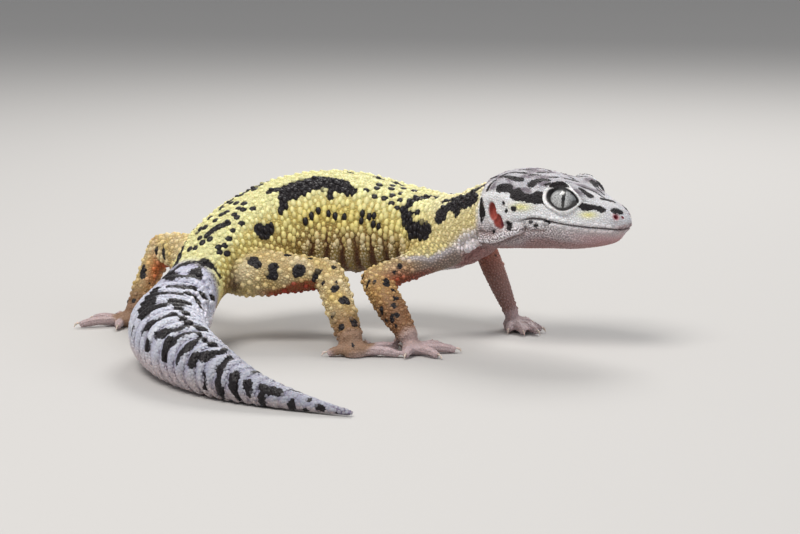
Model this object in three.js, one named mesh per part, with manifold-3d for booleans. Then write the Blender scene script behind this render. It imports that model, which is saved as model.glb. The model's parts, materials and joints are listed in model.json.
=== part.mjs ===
// A leopard gecko standing still at life size, in millimetres, +Z up, on the plane Z = 0.
// The animal is laid out in a frame whose X runs along its left-to-right extent; at the end the
// whole group is moved so that the origin lies under the middle of its box.
//
// Everything from the tail's tip to the neck is one tube around a spine. The spine is walked out
// from the pelvis by its heading, and the tube's half width, top and underside are profiles along it.
// The head is a second tube in its own straight frame. Legs are tapered capsules, feet are a pad
// with five digits. Neighbours are parted by thin cuts.
import * as THREE from "three";
import { mergeVertices } from "three/addons/utils/BufferGeometryUtils.js";
import Module from "manifold-3d";

const wasm = await Module();
wasm.setup();

// ---------------------------------------------------------------- driving dimensions
const GAP = 0.3; // free space between neighbouring pieces
const HALF_GAP = GAP / 2;

// Stations along the spine, measured forward from the middle of the pelvis.
const TAIL_TIP = -94;
const TAIL_ROOT = -9;
const LOIN = 9;
const RIBS = 42;
const SHOULDER = 54;
const NECK_START = 57;
const NAPE = 63;

const PELVIS = [-37, 16]; // where the walk starts

// Heading of the spine in degrees, anticlockwise from +X seen from above.
const HEADING = [
  [TAIL_TIP, 156], [-78, 147], [-62, 130], [-45, 111], [-30, 93], [-15, 72], [0, 50],
  [14, 25], [28, -6], [42, -25], [SHOULDER, -31], [NAPE, -27],
];
// Height of the spine tube's widest level.
const LEVEL = [
  [TAIL_TIP, 0.7], [-84, 1.7], [-72, 3.1], [-58, 5.2], [-44, 6.6], [-30, 7.3], [-18, 8.6],
  [TAIL_ROOT, 12.8], [0, 17.6], [14, 21], [28, 22], [42, 21.6], [SHOULDER, 22.2], [NAPE, 25],
];
// Half width of the tube.
const HALF_WIDTH = [
  [TAIL_TIP, 0.75], [-84, 1.8], [-72, 3.4], [-58, 5.6], [-44, 7.1], [-30, 7.9], [-18, 7.2],
  [TAIL_ROOT, 6.6], [0, 8], [14, 9.8], [28, 10.8], [42, 9.8], [SHOULDER, 8.2], [NAPE, 7.6],
];
// Rise of the back above the widest level.
const RISE = [
  [TAIL_TIP, 0.7], [-84, 1.7], [-72, 3.2], [-58, 5.2], [-44, 6.6], [-30, 7.2], [-18, 6.6],
  [TAIL_ROOT, 6.2], [0, 8.5], [14, 11.3], [28, 12.1], [42, 10.1], [SHOULDER, 8], [NAPE, 8.6],
];
// Drop of the underside below the widest level. On the floor it is a little more than the level,
// and the part that would sink in is flattened.
const DROP = [
  [TAIL_TIP, 0.75], [-84, 2], [-72, 3.55], [-58, 5.65], [-44, 7.05], [-30, 7.6], [-18, 7],
  [TAIL_ROOT, 5.6], [0, 7], [14, 9.2], [28, 10], [42, 8.8], [SHOULDER, 8], [NAPE, 6],
];
const BODY_SQUARENESS = 2.15; // exponent of the rounded section, 2 is an ellipse
const SECTION_LEAN = 0.6; // how far sections lean with the slope of the spine, 1 is square to it

// The head's frame: its snout tip and heading.
const SNOUT = [46.4, -0.5];
const HEAD_HEADING = -26;
const HEAD_LENGTH = 30;
// Rows run back from the snout tip: distance, half width, top, underside (heights from the floor).
const HEAD_ROWS = [
  [0, 1.6, 28.2, 25.7], [1.2, 3.5, 29.5, 24.2], [3.2, 4.9, 30.7, 23.1], [6, 6, 32.1, 22.3],
  [9, 7.1, 33.9, 21.6], [12.5, 8.1, 35.1, 20.9], [17, 9.2, 36.1, 20.5], [21.5, 10.1, 36.7, 20.2],
  [26, 10.2, 36.2, 19.9], [HEAD_LENGTH, 8.4, 34.6, 19.6],
];
const HEAD_SQUARENESS = 2.5;
const HEAD_LEVEL = 0.45; // share of the head's height below its widest level
const EYE = { back: 11, out: 4.9, height: 31, radius: 3.8 };
// Swellings of the head: middle and spread along it, angle up from the side and its spread, height.
const SWELLINGS = [
  { back: 10, spread: 3.4, angle: 50, arc: 18, lift: 1.5 }, // brow
  { back: 11, spread: 4.2, angle: 12, arc: 26, lift: 0.9 }, // rim of the eye
  { back: 24, spread: 4, angle: -12, arc: 30, lift: 0.7 }, // jaw muscle
];
const EAR = { back: 25.6, height: 27.6, half: [1.2, 1.2, 2.7] };
// The mouth slit runs back from the snout in the head's side view: distance back, height.
const MOUTH = [[-2, 25.2], [3, 25.2], [8, 25.8], [13, 27.1], [17, 27.9], [20, 27.6]];
const JAW_ANGLE = [25, 16]; // where the slit leaves through the throat

// Legs: the root inside the body, the elbow or knee, and the wrist or ankle; then the half
// thickness at the root, along the upper bone, at the elbow or knee, along the lower bone and at
// the wrist. The fan gives the direction of digits one to five, seen from above, from +X, and
// spans is their reach from the middle of the pad, as each foot spreads and bends them.
const LEGS = [
  {
    place: "front_right", names: ["upper_arm", "forearm", "hand"], toes: "hand",
    joints: [[10.5, 11.5, 19], [-5.3, 7.5, 13.6], [1.4, -0.8, 4]],
    thick: [3.5, 3.1, 3, 3.35, 2.3], pad: [2.7, -2.4], fan: [88, 43, 6, -46, -108],
    spans: [5.6, 8, 8.7, 7.1, 5.2],
  },
  {
    place: "front_left", names: ["upper_arm", "forearm", "hand"], toes: "hand",
    joints: [[14, 19, 19.5], [18.1, 30.5, 17], [23.7, 26, 3.7]],
    thick: [3.4, 2.8, 2.8, 2.6, 1.8], pad: [24.1, 24.7], fan: [-102, -76, -56, -34, 40],
    spans: [5.6, 7.8, 8.6, 7.1, 5.2],
  },
  {
    place: "hind_right", names: ["thigh", "shin", "foot"], toes: "foot",
    joints: [[-32.5, 12.5, 14.2], [-14.6, 10, 14.5], [-10.2, -3, 3.8]],
    thick: [5.2, 4.5, 3.2, 3.4, 2.75], pad: [-8.8, -4.8], fan: [112, 74, 38, -7, -176],
    spans: [6.8, 9, 10.6, 8.7, 5.9],
  },
  {
    place: "hind_left", names: ["thigh", "shin", "foot"], toes: "foot",
    joints: [[-42, 20, 16], [-52, 38, 15.7], [-57, 29.2, 3.8]],
    thick: [5, 4.4, 3.1, 2.8, 2.2], pad: [-59.4, 28.4], fan: [66, 104, 146, 196, 262],
    spans: [6.8, 8.4, 8.6, 9.7, 5.9],
  },
];
// A pad's half length, half width and half height.
const PADS = { hand: [2.5, 2.1, 1.5], foot: [3.1, 2.3, 1.8] };
const DIGIT_BASE = 1.1; // half thickness where a digit leaves the pad
const DIGIT_TIP = 0.92;
const DIGIT_END = 0.75; // its very end as a share of that
const KNUCKLE_HEIGHT = 1.9;
const DIGIT_ROOT = 0.12; // share of a digit's length where it starts inside the pad
const KNUCKLE = 0.55; // share of its length at its highest point
const PAD_SINK = 0.72; // height of a pad's middle as a share of its half height
const CLAW = { length: 0.75, base: 0.32, tip: 0.1, lift: 0.75 }; // lift is its root's height

// ---------------------------------------------------------------- materials
const skin = (color) => new THREE.MeshStandardMaterial({ color, roughness: 0.7, metalness: 0 });
const TRUNK_SKIN = skin(0xe0c85a);
const HEAD_SKIN = skin(0xd9d0d2);
const TAIL_SKIN = skin(0xd6d0da);
const LEG_SKIN = skin(0xd9a860);
const FOOT_SKIN = skin(0xe2cdc0);
const IRIS = new THREE.MeshStandardMaterial({ color: 0xb9bbb8, roughness: 0.08, metalness: 0 });
const HORN = new THREE.MeshStandardMaterial({ color: 0x7d6f68, roughness: 0.35, metalness: 0 });

// ---------------------------------------------------------------- helpers
// A smooth curve through (position, value) rows, with the slope at each row set by its neighbours.
function profile(rows) {
  const slope = (i) => {
    const a = rows[Math.max(i - 1, 0)];
    const b = rows[Math.min(i + 1, rows.length - 1)];
    return (b[1] - a[1]) / (b[0] - a[0]);
  };
  return (s) => {
    let i = 0;
    while (i < rows.length - 2 && s > rows[i + 1][0]) i++;
    const [s0, v0] = rows[i];
    const [s1, v1] = rows[i + 1];
    const step = s1 - s0;
    const u = THREE.MathUtils.clamp((s - s0) / step, 0, 1);
    const u2 = u * u;
    const u3 = u2 * u;
    return (2 * u3 - 3 * u2 + 1) * v0 + (u3 - 2 * u2 + u) * step * slope(i)
      + (3 * u2 - 2 * u3) * v1 + (u3 - u2) * step * slope(i + 1);
  };
}

// A point on a rounded section: angle 0 is the right side, 90 degrees the top.
function rounded(angle, across, rise, drop, squareness) {
  const power = 2 / squareness;
  const c = Math.cos(angle);
  const s = Math.sin(angle);
  return [
    across * Math.sign(c) * Math.abs(c) ** power,
    (s > 0 ? rise : drop) * Math.sign(s) * Math.abs(s) ** power,
  ];
}

// A closed tube: a cylinder whose rings are placed by put(t, angle, reach), where t runs 0 to 1
// along it and reach is 1 on the wall and 0 at the middle of an end.
function tube(around, along, put) {
  const geometry = new THREE.CylinderGeometry(1, 1, 1, around, along);
  const position = geometry.attributes.position;
  const point = new THREE.Vector3();
  for (let i = 0; i < position.count; i++) {
    point.fromBufferAttribute(position, i);
    const reach = Math.hypot(point.x, point.z);
    const placed = put(point.y + 0.5, Math.atan2(point.z, point.x), reach);
    position.setXYZ(i, placed.x, placed.y, placed.z);
  }
  return solid(geometry);
}

// A closed geometry as a solid that can be joined and cut.
function solid(geometry) {
  geometry.deleteAttribute("normal");
  geometry.deleteAttribute("uv");
  const merged = mergeVertices(geometry, 1e-4);
  return new wasm.Manifold(new wasm.Mesh({
    numProp: 3,
    vertProperties: merged.attributes.position.array,
    triVerts: new Uint32Array(merged.index.array),
  }));
}

const pieces = new THREE.Group();

// Adds a solid to the model as a named mesh.
function add(name, body, material) {
  const { vertProperties, triVerts } = body.getMesh();
  const geometry = new THREE.BufferGeometry();
  geometry.setAttribute("position", new THREE.BufferAttribute(vertProperties, 3));
  geometry.setIndex(new THREE.BufferAttribute(triVerts, 1));
  geometry.computeVertexNormals();
  const mesh = new THREE.Mesh(geometry, material);
  mesh.name = name;
  pieces.add(mesh);
}

// A large box whose one face passes through a point, filling the side that the normal points to.
function halfSpace(point, normal, shift = 0) {
  const size = 60;
  const geometry = new THREE.BoxGeometry(size, size, size);
  const direction = normal.clone().normalize();
  geometry.translate(0, 0, size / 2);
  geometry.applyQuaternion(
    new THREE.Quaternion().setFromUnitVectors(new THREE.Vector3(0, 0, 1), direction),
  );
  const face = point.clone().addScaledVector(direction, shift);
  geometry.translate(face.x, face.y, face.z);
  return solid(geometry);
}

// ---------------------------------------------------------------- the spine and its tube
const headingAt = profile(HEADING);
const levelAt = profile(LEVEL);
const halfWidthAt = profile(HALF_WIDTH);
const riseAt = profile(RISE);
const dropAt = profile(DROP);

// Walks the spine out from the pelvis in short steps, both ways.
const WALK_STEP = 0.25;
function walk(end) {
  const step = Math.sign(end) * WALK_STEP;
  const places = [[...PELVIS]];
  for (let s = 0; Math.abs(s) < Math.abs(end) + 1; s += step) {
    const heading = THREE.MathUtils.degToRad(headingAt(s + step / 2));
    const [x, y] = places[places.length - 1];
    places.push([x + Math.cos(heading) * step, y + Math.sin(heading) * step]);
  }
  return places;
}
const NECK_OVERRUN = 2; // how far the neck's tube runs on into the head before it is cut
const forwardWalk = walk(NAPE + NECK_OVERRUN + 1);
const backwardWalk = walk(TAIL_TIP);

function spineAt(s) {
  const places = s < 0 ? backwardWalk : forwardWalk;
  const index = Math.min(Math.abs(s) / WALK_STEP, places.length - 1.001);
  const i = Math.floor(index);
  const u = index - i;
  const x = places[i][0] * (1 - u) + places[i + 1][0] * u;
  const y = places[i][1] * (1 - u) + places[i + 1][1] * u;
  const heading = THREE.MathUtils.degToRad(headingAt(s));
  const climb = (levelAt(s + 0.5) - levelAt(s - 0.5)) * SECTION_LEAN;
  const forward = new THREE.Vector3(Math.cos(heading), Math.sin(heading), climb).normalize();
  const right = new THREE.Vector3(forward.y, -forward.x, 0).normalize();
  const up = new THREE.Vector3().crossVectors(right, forward);
  return { centre: new THREE.Vector3(x, y, levelAt(s)), right, up, forward };
}

// The tube between two stations, swollen by grow; no point sinks below the floor.
function bodyTube(from, to, around, along, grow = 0) {
  return tube(around, along, (t, angle, reach) => {
    const s = from + (to - from) * t;
    const { centre, right, up } = spineAt(s);
    const [across, above] = rounded(
      angle, halfWidthAt(s) + grow, riseAt(s) + grow, dropAt(s) + grow, BODY_SQUARENESS,
    );
    const point = centre.clone()
      .addScaledVector(right, across * reach)
      .addScaledVector(up, above * reach);
    point.z = Math.max(point.z, 0);
    return point;
  });
}

const BODY_PIECES = [
  { name: "tail_tip", from: TAIL_TIP, to: -72, around: 14, along: 6, material: TAIL_SKIN },
  { name: "tail_rear", from: -72, to: -50, around: 20, along: 6, material: TAIL_SKIN },
  { name: "tail_middle", from: -50, to: -28, around: 20, along: 6, material: TAIL_SKIN },
  { name: "tail_root", from: -28, to: TAIL_ROOT, around: 20, along: 5, material: TAIL_SKIN },
  { name: "pelvis", from: TAIL_ROOT, to: LOIN, around: 22, along: 5, material: TRUNK_SKIN },
  { name: "trunk", from: LOIN, to: RIBS, around: 24, along: 10, material: TRUNK_SKIN },
  { name: "chest", from: RIBS, to: NECK_START, around: 24, along: 5, material: TRUNK_SKIN },
];

// ---------------------------------------------------------------- the head
const headHeading = THREE.MathUtils.degToRad(HEAD_HEADING);
const headForward = new THREE.Vector3(Math.cos(headHeading), Math.sin(headHeading), 0);
const headRight = new THREE.Vector3(headForward.y, -headForward.x, 0);

// A point in the head's frame: back from the snout tip, out to the right, height from the floor.
function inHead(back, out, height) {
  return new THREE.Vector3(SNOUT[0], SNOUT[1], height)
    .addScaledVector(headForward, -back)
    .addScaledVector(headRight, out);
}

const headHalf = profile(HEAD_ROWS.map(([back, half]) => [back, half]));
const headTop = profile(HEAD_ROWS.map(([back, , top]) => [back, top]));
const headLow = profile(HEAD_ROWS.map(([back, , , low]) => [back, low]));

function headTube() {
  const along = 15;
  return tube(22, along, (t, angle, reach) => {
    const back = HEAD_LENGTH * (1 - t) ** 1.5; // rings lie closer near the snout
    const top = headTop(back);
    const low = headLow(back);
    const level = low + (top - low) * HEAD_LEVEL;
    let [across, above] = rounded(
      angle, headHalf(back), top - level, level - low, HEAD_SQUARENESS,
    );
    const elevation = THREE.MathUtils.radToDeg(Math.asin(Math.sin(angle)));
    for (const swelling of SWELLINGS) {
      const rise = swelling.lift
        * Math.exp(-(((back - swelling.back) / swelling.spread) ** 2))
        * Math.exp(-(((elevation - swelling.angle) / swelling.arc) ** 2));
      const tilt = THREE.MathUtils.degToRad(swelling.angle);
      across += rise * Math.cos(tilt) * Math.cos(angle);
      above += rise * Math.sin(tilt);
    }
    return inHead(back, across * reach, level + above * reach);
  });
}

// The part of the head below the mouth slit, as a prism across the head, with its edge moved by
// shift: up and back for a positive value.
function jawPrism(shift) {
  const mouth = new THREE.SplineCurve(MOUTH.map(([back, height]) => new THREE.Vector2(back, height)));
  const outline = mouth.getPoints(14).map((p) => new THREE.Vector2(p.x, p.y + shift));
  outline[outline.length - 1].x += shift;
  outline.push(new THREE.Vector2(JAW_ANGLE[0] + shift, JAW_ANGLE[1]));
  outline.push(new THREE.Vector2(MOUTH[0][0], JAW_ANGLE[1]));
  const across = 26;
  const geometry = new THREE.ExtrudeGeometry(new THREE.Shape(outline), {
    depth: across, bevelEnabled: false,
  });
  const position = geometry.attributes.position;
  for (let i = 0; i < position.count; i++) {
    const point = inHead(position.getX(i), across / 2 - position.getZ(i), position.getY(i));
    position.setXYZ(i, point.x, point.y, point.z);
  }
  return solid(geometry);
}

function ball(radius, around, rings, centre, scale = [1, 1, 1]) {
  const geometry = new THREE.SphereGeometry(radius, around, rings);
  geometry.scale(...scale);
  geometry.rotateZ(headHeading);
  geometry.translate(centre.x, centre.y, centre.z);
  return solid(geometry);
}

const SIDES = [["right", 1], ["left", -1]];

function buildHead() {
  let skull = headTube();
  for (const [side, sign] of SIDES) {
    const eye = inHead(EYE.back, EYE.out * sign, EYE.height);
    skull = skull.subtract(ball(EYE.radius + GAP, 12, 8, eye));
    add(`eye_${side}`, ball(EYE.radius, 12, 8, eye), IRIS);
    const ear = inHead(EAR.back, headHalf(EAR.back) * sign, EAR.height);
    skull = skull.subtract(ball(1, 8, 6, ear, EAR.half));
  }
  add("head", skull.subtract(jawPrism(HALF_GAP)), HEAD_SKIN);
  add("lower_jaw", skull.intersect(jawPrism(-HALF_GAP)), HEAD_SKIN);
}

// ---------------------------------------------------------------- legs and feet
// A tapered capsule from a to b, with its half thickness given at a, half way and at b.
function bone(a, b, rows, grow = 0) {
  const geometry = new THREE.CapsuleGeometry(1, 1, 3, 12, 3);
  const position = geometry.attributes.position;
  const thickness = profile([[0, rows[0]], [0.5, rows[1]], [1, rows[2]]]);
  const direction = b.clone().sub(a);
  const length = direction.length();
  direction.normalize();
  const turn = new THREE.Quaternion().setFromUnitVectors(new THREE.Vector3(0, 1, 0), direction);
  const point = new THREE.Vector3();
  for (let i = 0; i < position.count; i++) {
    point.fromBufferAttribute(position, i);
    const t = THREE.MathUtils.clamp(point.y + 0.5, 0, 1);
    const radius = thickness(t) + grow;
    const beyond = point.y + 0.5 - t; // reaches 1 at the pole of a rounded end
    point.set(point.x * radius, t * length + beyond * radius, point.z * radius);
    point.applyQuaternion(turn).add(a);
    position.setXYZ(i, point.x, point.y, point.z);
  }
  return solid(geometry);
}

// A pad flattened on the floor, pointing along heading.
function pad(middle, heading, half) {
  const geometry = new THREE.SphereGeometry(1, 12, 6);
  geometry.rotateX(Math.PI / 2);
  geometry.scale(...half);
  geometry.rotateZ(heading);
  geometry.translate(middle.x, middle.y, half[2] * PAD_SINK);
  const position = geometry.attributes.position;
  for (let i = 0; i < position.count; i++) position.setZ(i, Math.max(position.getZ(i), 0));
  return solid(geometry);
}

// A slender tube through three points in one upright plane, never below the floor. Its far end
// is narrowed to the share that blunt gives.
function finger(points, radii, around, along, blunt) {
  const curve = new THREE.QuadraticBezierCurve3(...points);
  const radiusAt = profile([[0, radii[0]], [0.6, radii[1]], [1, radii[2]]]);
  return tube(around, along, (t, angle, reach) => {
    const forward = curve.getTangent(t);
    const right = new THREE.Vector3(forward.y, -forward.x, 0).normalize();
    const up = new THREE.Vector3().crossVectors(right, forward);
    const radius = radiusAt(t) * (t > 0.999 ? blunt : 1) * reach;
    const point = curve.getPoint(t)
      .addScaledVector(right, Math.cos(angle) * radius)
      .addScaledVector(up, Math.sin(angle) * radius);
    point.z = Math.max(point.z, 0);
    return point;
  });
}

function buildLeg({ place, names, toes, joints, thick, pad: padPlace, fan, spans }, bodySection) {
  const [root, bend, wrist] = joints.map((p) => new THREE.Vector3(...p));
  const [upperName, lowerName, footName] = names.map((name) => `${name}_${place}`);
  const upperWay = bend.clone().sub(root).normalize();
  const lowerWay = wrist.clone().sub(bend).normalize();
  const mitre = upperWay.clone().add(lowerWay).normalize();

  const upper = bone(root, bend, thick.slice(0, 3))
    .subtract(halfSpace(bend, mitre, -HALF_GAP))
    .subtract(bodySection);
  add(upperName, upper, LEG_SKIN);

  const lower = bone(bend, wrist, thick.slice(2, 5));
  const above = mitre.clone().negate();
  add(lowerName, lower
    .subtract(halfSpace(bend, above, -HALF_GAP))
    .subtract(halfSpace(wrist, lowerWay, -HALF_GAP)), LEG_SKIN);

  const middle = new THREE.Vector3(...padPlace, 0);
  const headings = fan.map(THREE.MathUtils.degToRad);
  let foot = pad(middle, headings[2], PADS[toes])
    .add(lower.intersect(halfSpace(wrist, lowerWay, HALF_GAP)));
  headings.forEach((heading, index) => {
    const length = spans[index];
    const way = new THREE.Vector3(Math.cos(heading), Math.sin(heading), 0);
    const at = (share, height) => middle.clone().addScaledVector(way, length * share).setZ(height);
    foot = foot.add(finger(
      [at(DIGIT_ROOT, DIGIT_BASE), at(KNUCKLE, KNUCKLE_HEIGHT), at(1, DIGIT_TIP * 0.9)],
      [DIGIT_BASE, (DIGIT_BASE + DIGIT_TIP) / 2, DIGIT_TIP], 6, 4, DIGIT_END,
    ));
    const reach = (length + GAP) / length;
    const tip = (length + GAP + CLAW.length) / length;
    add(`claw_${place}_${index + 1}`, finger(
      [at(reach, CLAW.lift), at((reach + tip) / 2, CLAW.lift), at(tip, CLAW.tip)],
      [CLAW.base, CLAW.base * 0.7, CLAW.tip], 5, 2, 1,
    ), HORN);
  });
  const clearance = bone(bend, wrist, thick.slice(2, 5), GAP)
    .subtract(halfSpace(wrist, lowerWay, HALF_GAP));
  add(footName, foot.subtract(clearance), FOOT_SKIN);
}

// ---------------------------------------------------------------- all pieces
// The neck runs into the back of the head and is cut off square to it.
function buildNeck() {
  const backOfHead = inHead(HEAD_LENGTH, 0, headLow(HEAD_LENGTH));
  add("neck", bodyTube(NECK_START + HALF_GAP, NAPE + NECK_OVERRUN, 22, 3)
    .subtract(halfSpace(backOfHead, headForward, -GAP)), TRUNK_SKIN);
}

for (const { name, from, to, around, along, material } of BODY_PIECES) {
  add(name, bodyTube(from + HALF_GAP, to - HALF_GAP, around, along), material);
}
buildHead();
buildNeck();
// The body round each pair of legs, swollen by the gap, is what their roots are cut back to.
const shoulders = bodyTube(RIBS - 10, NAPE, 24, 12, GAP);
const hips = bodyTube(TAIL_ROOT - 6, LOIN + 12, 24, 12, GAP);
for (const leg of LEGS) buildLeg(leg, leg.toes === "hand" ? shoulders : hips);

// ---------------------------------------------------------------- the model
const gecko = new THREE.Group();
gecko.add(pieces);
const box = new THREE.Box3().setFromObject(pieces);
const middle = box.getCenter(new THREE.Vector3());
pieces.position.set(-middle.x, -middle.y, 0);

export default gecko;
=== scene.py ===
# %% [markdown]
# # A leopard gecko at life size
#
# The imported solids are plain, faceted lengths of body, head, legs and feet, parted by thin cuts.
# Here they become an animal: one skin without a seam, scales standing on it as real small solids,
# wet eyes under thick lids, claws, and the black marks on yellow, white and lavender.

# %% Load the fixed frame
import json
import math

import bpy
import numpy as np
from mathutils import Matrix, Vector
from mathutils.bvhtree import BVHTree
from mathutils.kdtree import KDTree

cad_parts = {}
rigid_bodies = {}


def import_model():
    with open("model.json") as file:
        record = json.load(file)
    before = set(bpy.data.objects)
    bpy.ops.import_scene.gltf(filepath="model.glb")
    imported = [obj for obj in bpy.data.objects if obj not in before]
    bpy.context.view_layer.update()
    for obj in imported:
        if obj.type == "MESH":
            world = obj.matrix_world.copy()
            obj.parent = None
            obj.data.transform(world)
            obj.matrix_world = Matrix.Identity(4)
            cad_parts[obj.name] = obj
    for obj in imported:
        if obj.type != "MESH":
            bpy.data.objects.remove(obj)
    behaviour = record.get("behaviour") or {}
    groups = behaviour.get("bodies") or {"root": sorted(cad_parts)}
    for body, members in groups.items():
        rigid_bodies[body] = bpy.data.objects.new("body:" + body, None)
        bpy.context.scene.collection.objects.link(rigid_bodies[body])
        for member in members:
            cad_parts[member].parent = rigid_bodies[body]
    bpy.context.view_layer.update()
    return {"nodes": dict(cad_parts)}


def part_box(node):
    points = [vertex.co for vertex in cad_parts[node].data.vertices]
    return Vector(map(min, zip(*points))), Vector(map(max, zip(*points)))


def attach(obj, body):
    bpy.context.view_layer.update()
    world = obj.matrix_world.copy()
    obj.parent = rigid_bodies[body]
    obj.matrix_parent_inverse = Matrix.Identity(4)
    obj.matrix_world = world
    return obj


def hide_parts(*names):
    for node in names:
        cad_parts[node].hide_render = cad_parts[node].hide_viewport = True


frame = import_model()
nodes = frame["nodes"]
MM = 0.001

# %% [markdown]
# ## The animal's own coordinates
#
# A spot on a curved body is easiest to name the way an anatomist would: how far along the spine,
# and how far round the body. The spine below is the line that the solids were built on, walked out
# from the pelvis by its heading. Every scale and mark is placed by station and girth on it.

# %% The spine's shape, in millimetres
PELVIS = (-37, 16)
HEADING = [  # (station along the spine, the way it runs there in degrees)
    (-94, 156), (-78, 147), (-62, 130), (-45, 111), (-30, 93), (-15, 72), (0, 50),
    (14, 25), (28, -6), (42, -25), (54, -31), (63, -27),
]
LEVEL = [  # (station, the spine's height over the floor)
    (-94, 0.7), (-84, 1.7), (-72, 3.1), (-58, 5.2), (-44, 6.6), (-30, 7.3), (-18, 8.6),
    (-9, 12.8), (0, 17.6), (14, 21), (28, 22), (42, 21.6), (54, 22.2), (63, 25),
]
SNOUT = (46.4, -0.5)
HEAD_HEADING = math.radians(-26)
HEAD_AXIS_HEIGHT = 28.5
EYE = {"back": 11, "out": 4.9, "height": 31}
LEGS = {  # root, elbow or knee, wrist or ankle
    "front_right": [(10.5, 11.5, 19), (-5.3, 7.5, 13.6), (1.4, -0.8, 4)],
    "front_left": [(14, 19, 19.5), (18.1, 30.5, 17), (23.7, 26, 3.7)],
    "hind_right": [(-32.5, 12.5, 14.2), (-14.6, 10, 14.5), (-10.2, -3, 3.8)],
    "hind_left": [(-42, 20, 16), (-52, 38, 15.7), (-57, 29.2, 3.8)],
}


def smooth_curve(rows):
    """The smooth curve through (position, value) rows, as the solids' profiles are."""
    xs, ys = np.array(rows, float).T
    slopes = np.empty(len(xs))
    slopes[1:-1] = (ys[2:] - ys[:-2]) / (xs[2:] - xs[:-2])
    slopes[0] = (ys[1] - ys[0]) / (xs[1] - xs[0])
    slopes[-1] = (ys[-1] - ys[-2]) / (xs[-1] - xs[-2])

    def at(x):
        i = np.clip(np.searchsorted(xs, x) - 1, 0, len(xs) - 2)
        step = xs[i + 1] - xs[i]
        u = np.clip((x - xs[i]) / step, 0, 1)
        start = (2 * u**3 - 3 * u**2 + 1) * ys[i] + (u**3 - 2 * u**2 + u) * step * slopes[i]
        return start + (3 * u**2 - 2 * u**3) * ys[i + 1] + (u**3 - u**2) * step * slopes[i + 1]

    return at


heading_at = smooth_curve(HEADING)
level_at = smooth_curve(LEVEL)

# %% Walk the spine out from the pelvis, both ways
STEP = 0.25
TAIL_END, NECK_END = -95, 68


def walk(end):
    """Stations from the pelvis to an end of the spine, and the spine's line under them."""
    way = math.copysign(STEP, end)
    stations = np.arange(0, abs(end), STEP) * np.sign(end)
    headings = np.radians(heading_at(stations + way / 2))
    steps = np.stack([np.cos(headings), np.sin(headings)], 1) * way
    return stations, PELVIS + np.vstack([[0, 0], np.cumsum(steps, 0)[:-1]])


tail_stations, tail_line = walk(TAIL_END)
body_stations, body_line = walk(NECK_END)
spine_stations = np.concatenate([tail_stations[:0:-1], body_stations])
spine_line = np.concatenate([tail_line[:0:-1], body_line])

head_forward = np.array([math.cos(HEAD_HEADING), math.sin(HEAD_HEADING), 0])
head_right = np.array([head_forward[1], -head_forward[0], 0])
up = np.array([0.0, 0.0, 1.0])


def in_head(back, out, height):
    """A point of the head: back from the snout, out to its right, height from the floor."""
    base = np.array([*SNOUT, 0.0])
    return base - head_forward * back + head_right * out + up * height


eye_low, eye_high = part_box("eye_right")
eye_centre = np.array((eye_low + eye_high) / 2) / MM
layout_origin = eye_centre - in_head(EYE["back"], EYE["out"], EYE["height"])
print("the layout's origin lies at", layout_origin.round(2), "mm")


def to_layout(metres):
    """From the frame's metres to the layout's millimetres."""
    return np.asarray(metres, float) / MM - layout_origin


def to_model(layout):
    """From the layout's millimetres back to metres."""
    return (layout + layout_origin) * MM


# %% Read any point's place on the animal
BATCH = 8000  # points measured at a time, to spare memory


def degrees_between(a, b):
    """The turn from b to a, from -180 to 180."""
    return (a - b + 180) % 360 - 180


def arc(turn, reach):
    """The length of a turn in degrees round an axis."""
    return turn * reach * math.pi / 180


def on_spine(points):
    """Station, girth angle (0 right side, 90 top, 180 left) and reach from the spine."""
    near = np.empty(len(points), int)
    for start in range(0, len(points), BATCH):
        part = points[start:start + BATCH, None, :2]
        gap = ((part - spine_line[None]) ** 2).sum(2)
        near[start:start + BATCH] = gap.argmin(1)
    heading = np.radians(heading_at(spine_stations[near]))
    forward = np.stack([np.cos(heading), np.sin(heading)], 1)
    off = points[:, :2] - spine_line[near]
    station = spine_stations[near] + (off * forward).sum(1)
    across = off[:, 0] * forward[:, 1] - off[:, 1] * forward[:, 0]
    above = points[:, 2] - level_at(station)
    return station, np.degrees(np.arctan2(above, across)), np.hypot(across, above), forward


def in_head_frame(points):
    """Back from the snout, out to the right and height."""
    off = points - np.array([*SNOUT, 0.0])
    return -(off @ head_forward), off @ head_right, points[:, 2]


def on_leg(points, leg):
    """Along the leg (0 root, 1 elbow or knee, 2 wrist or ankle), turn round it and reach."""
    joints = np.array(LEGS[leg], float)
    best = np.full(len(points), 1e9)
    along = np.zeros(len(points))
    turn = np.zeros(len(points))
    for bone in (0, 1):
        start, way = joints[bone], joints[bone + 1] - joints[bone]
        length = np.linalg.norm(way)
        way = way / length
        share = np.clip((points - start) @ way / length, 0, 1)
        off = points - start - share[:, None] * way * length
        reach = np.linalg.norm(off, axis=1)
        top = up - way * way[2]
        top /= np.linalg.norm(top)
        side = np.cross(way, top)
        closer = reach < best
        best = np.where(closer, reach, best)
        along = np.where(closer, bone + (points - start) @ way / length, along)
        turn = np.where(closer, np.degrees(np.arctan2(off @ top, off @ side)), turn)
    return along, turn, best


# %% [markdown]
# ## One skin over the flesh
#
# The solids are parted by cuts of 0.3 mm. A copy of all of them is grown until the cuts close, and
# a voxel remesh melts it into one shell. Smoothing takes the facets away, and only then is the
# shell drawn in again, to lie under the tips of the scales.

# %% Small helpers for modelling
def only(obj):
    """Selects one object alone and makes it active."""
    bpy.ops.object.select_all(action="DESELECT")
    obj.select_set(True)
    bpy.context.view_layer.objects.active = obj


def finish_with(obj, kind, **settings):
    """Adds a modifier and applies it."""
    only(obj)
    modifier = obj.modifiers.new(kind.lower(), kind)
    for name, value in settings.items():
        setattr(modifier, name, value)
    bpy.ops.object.modifier_apply(modifier=modifier.name)


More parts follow.
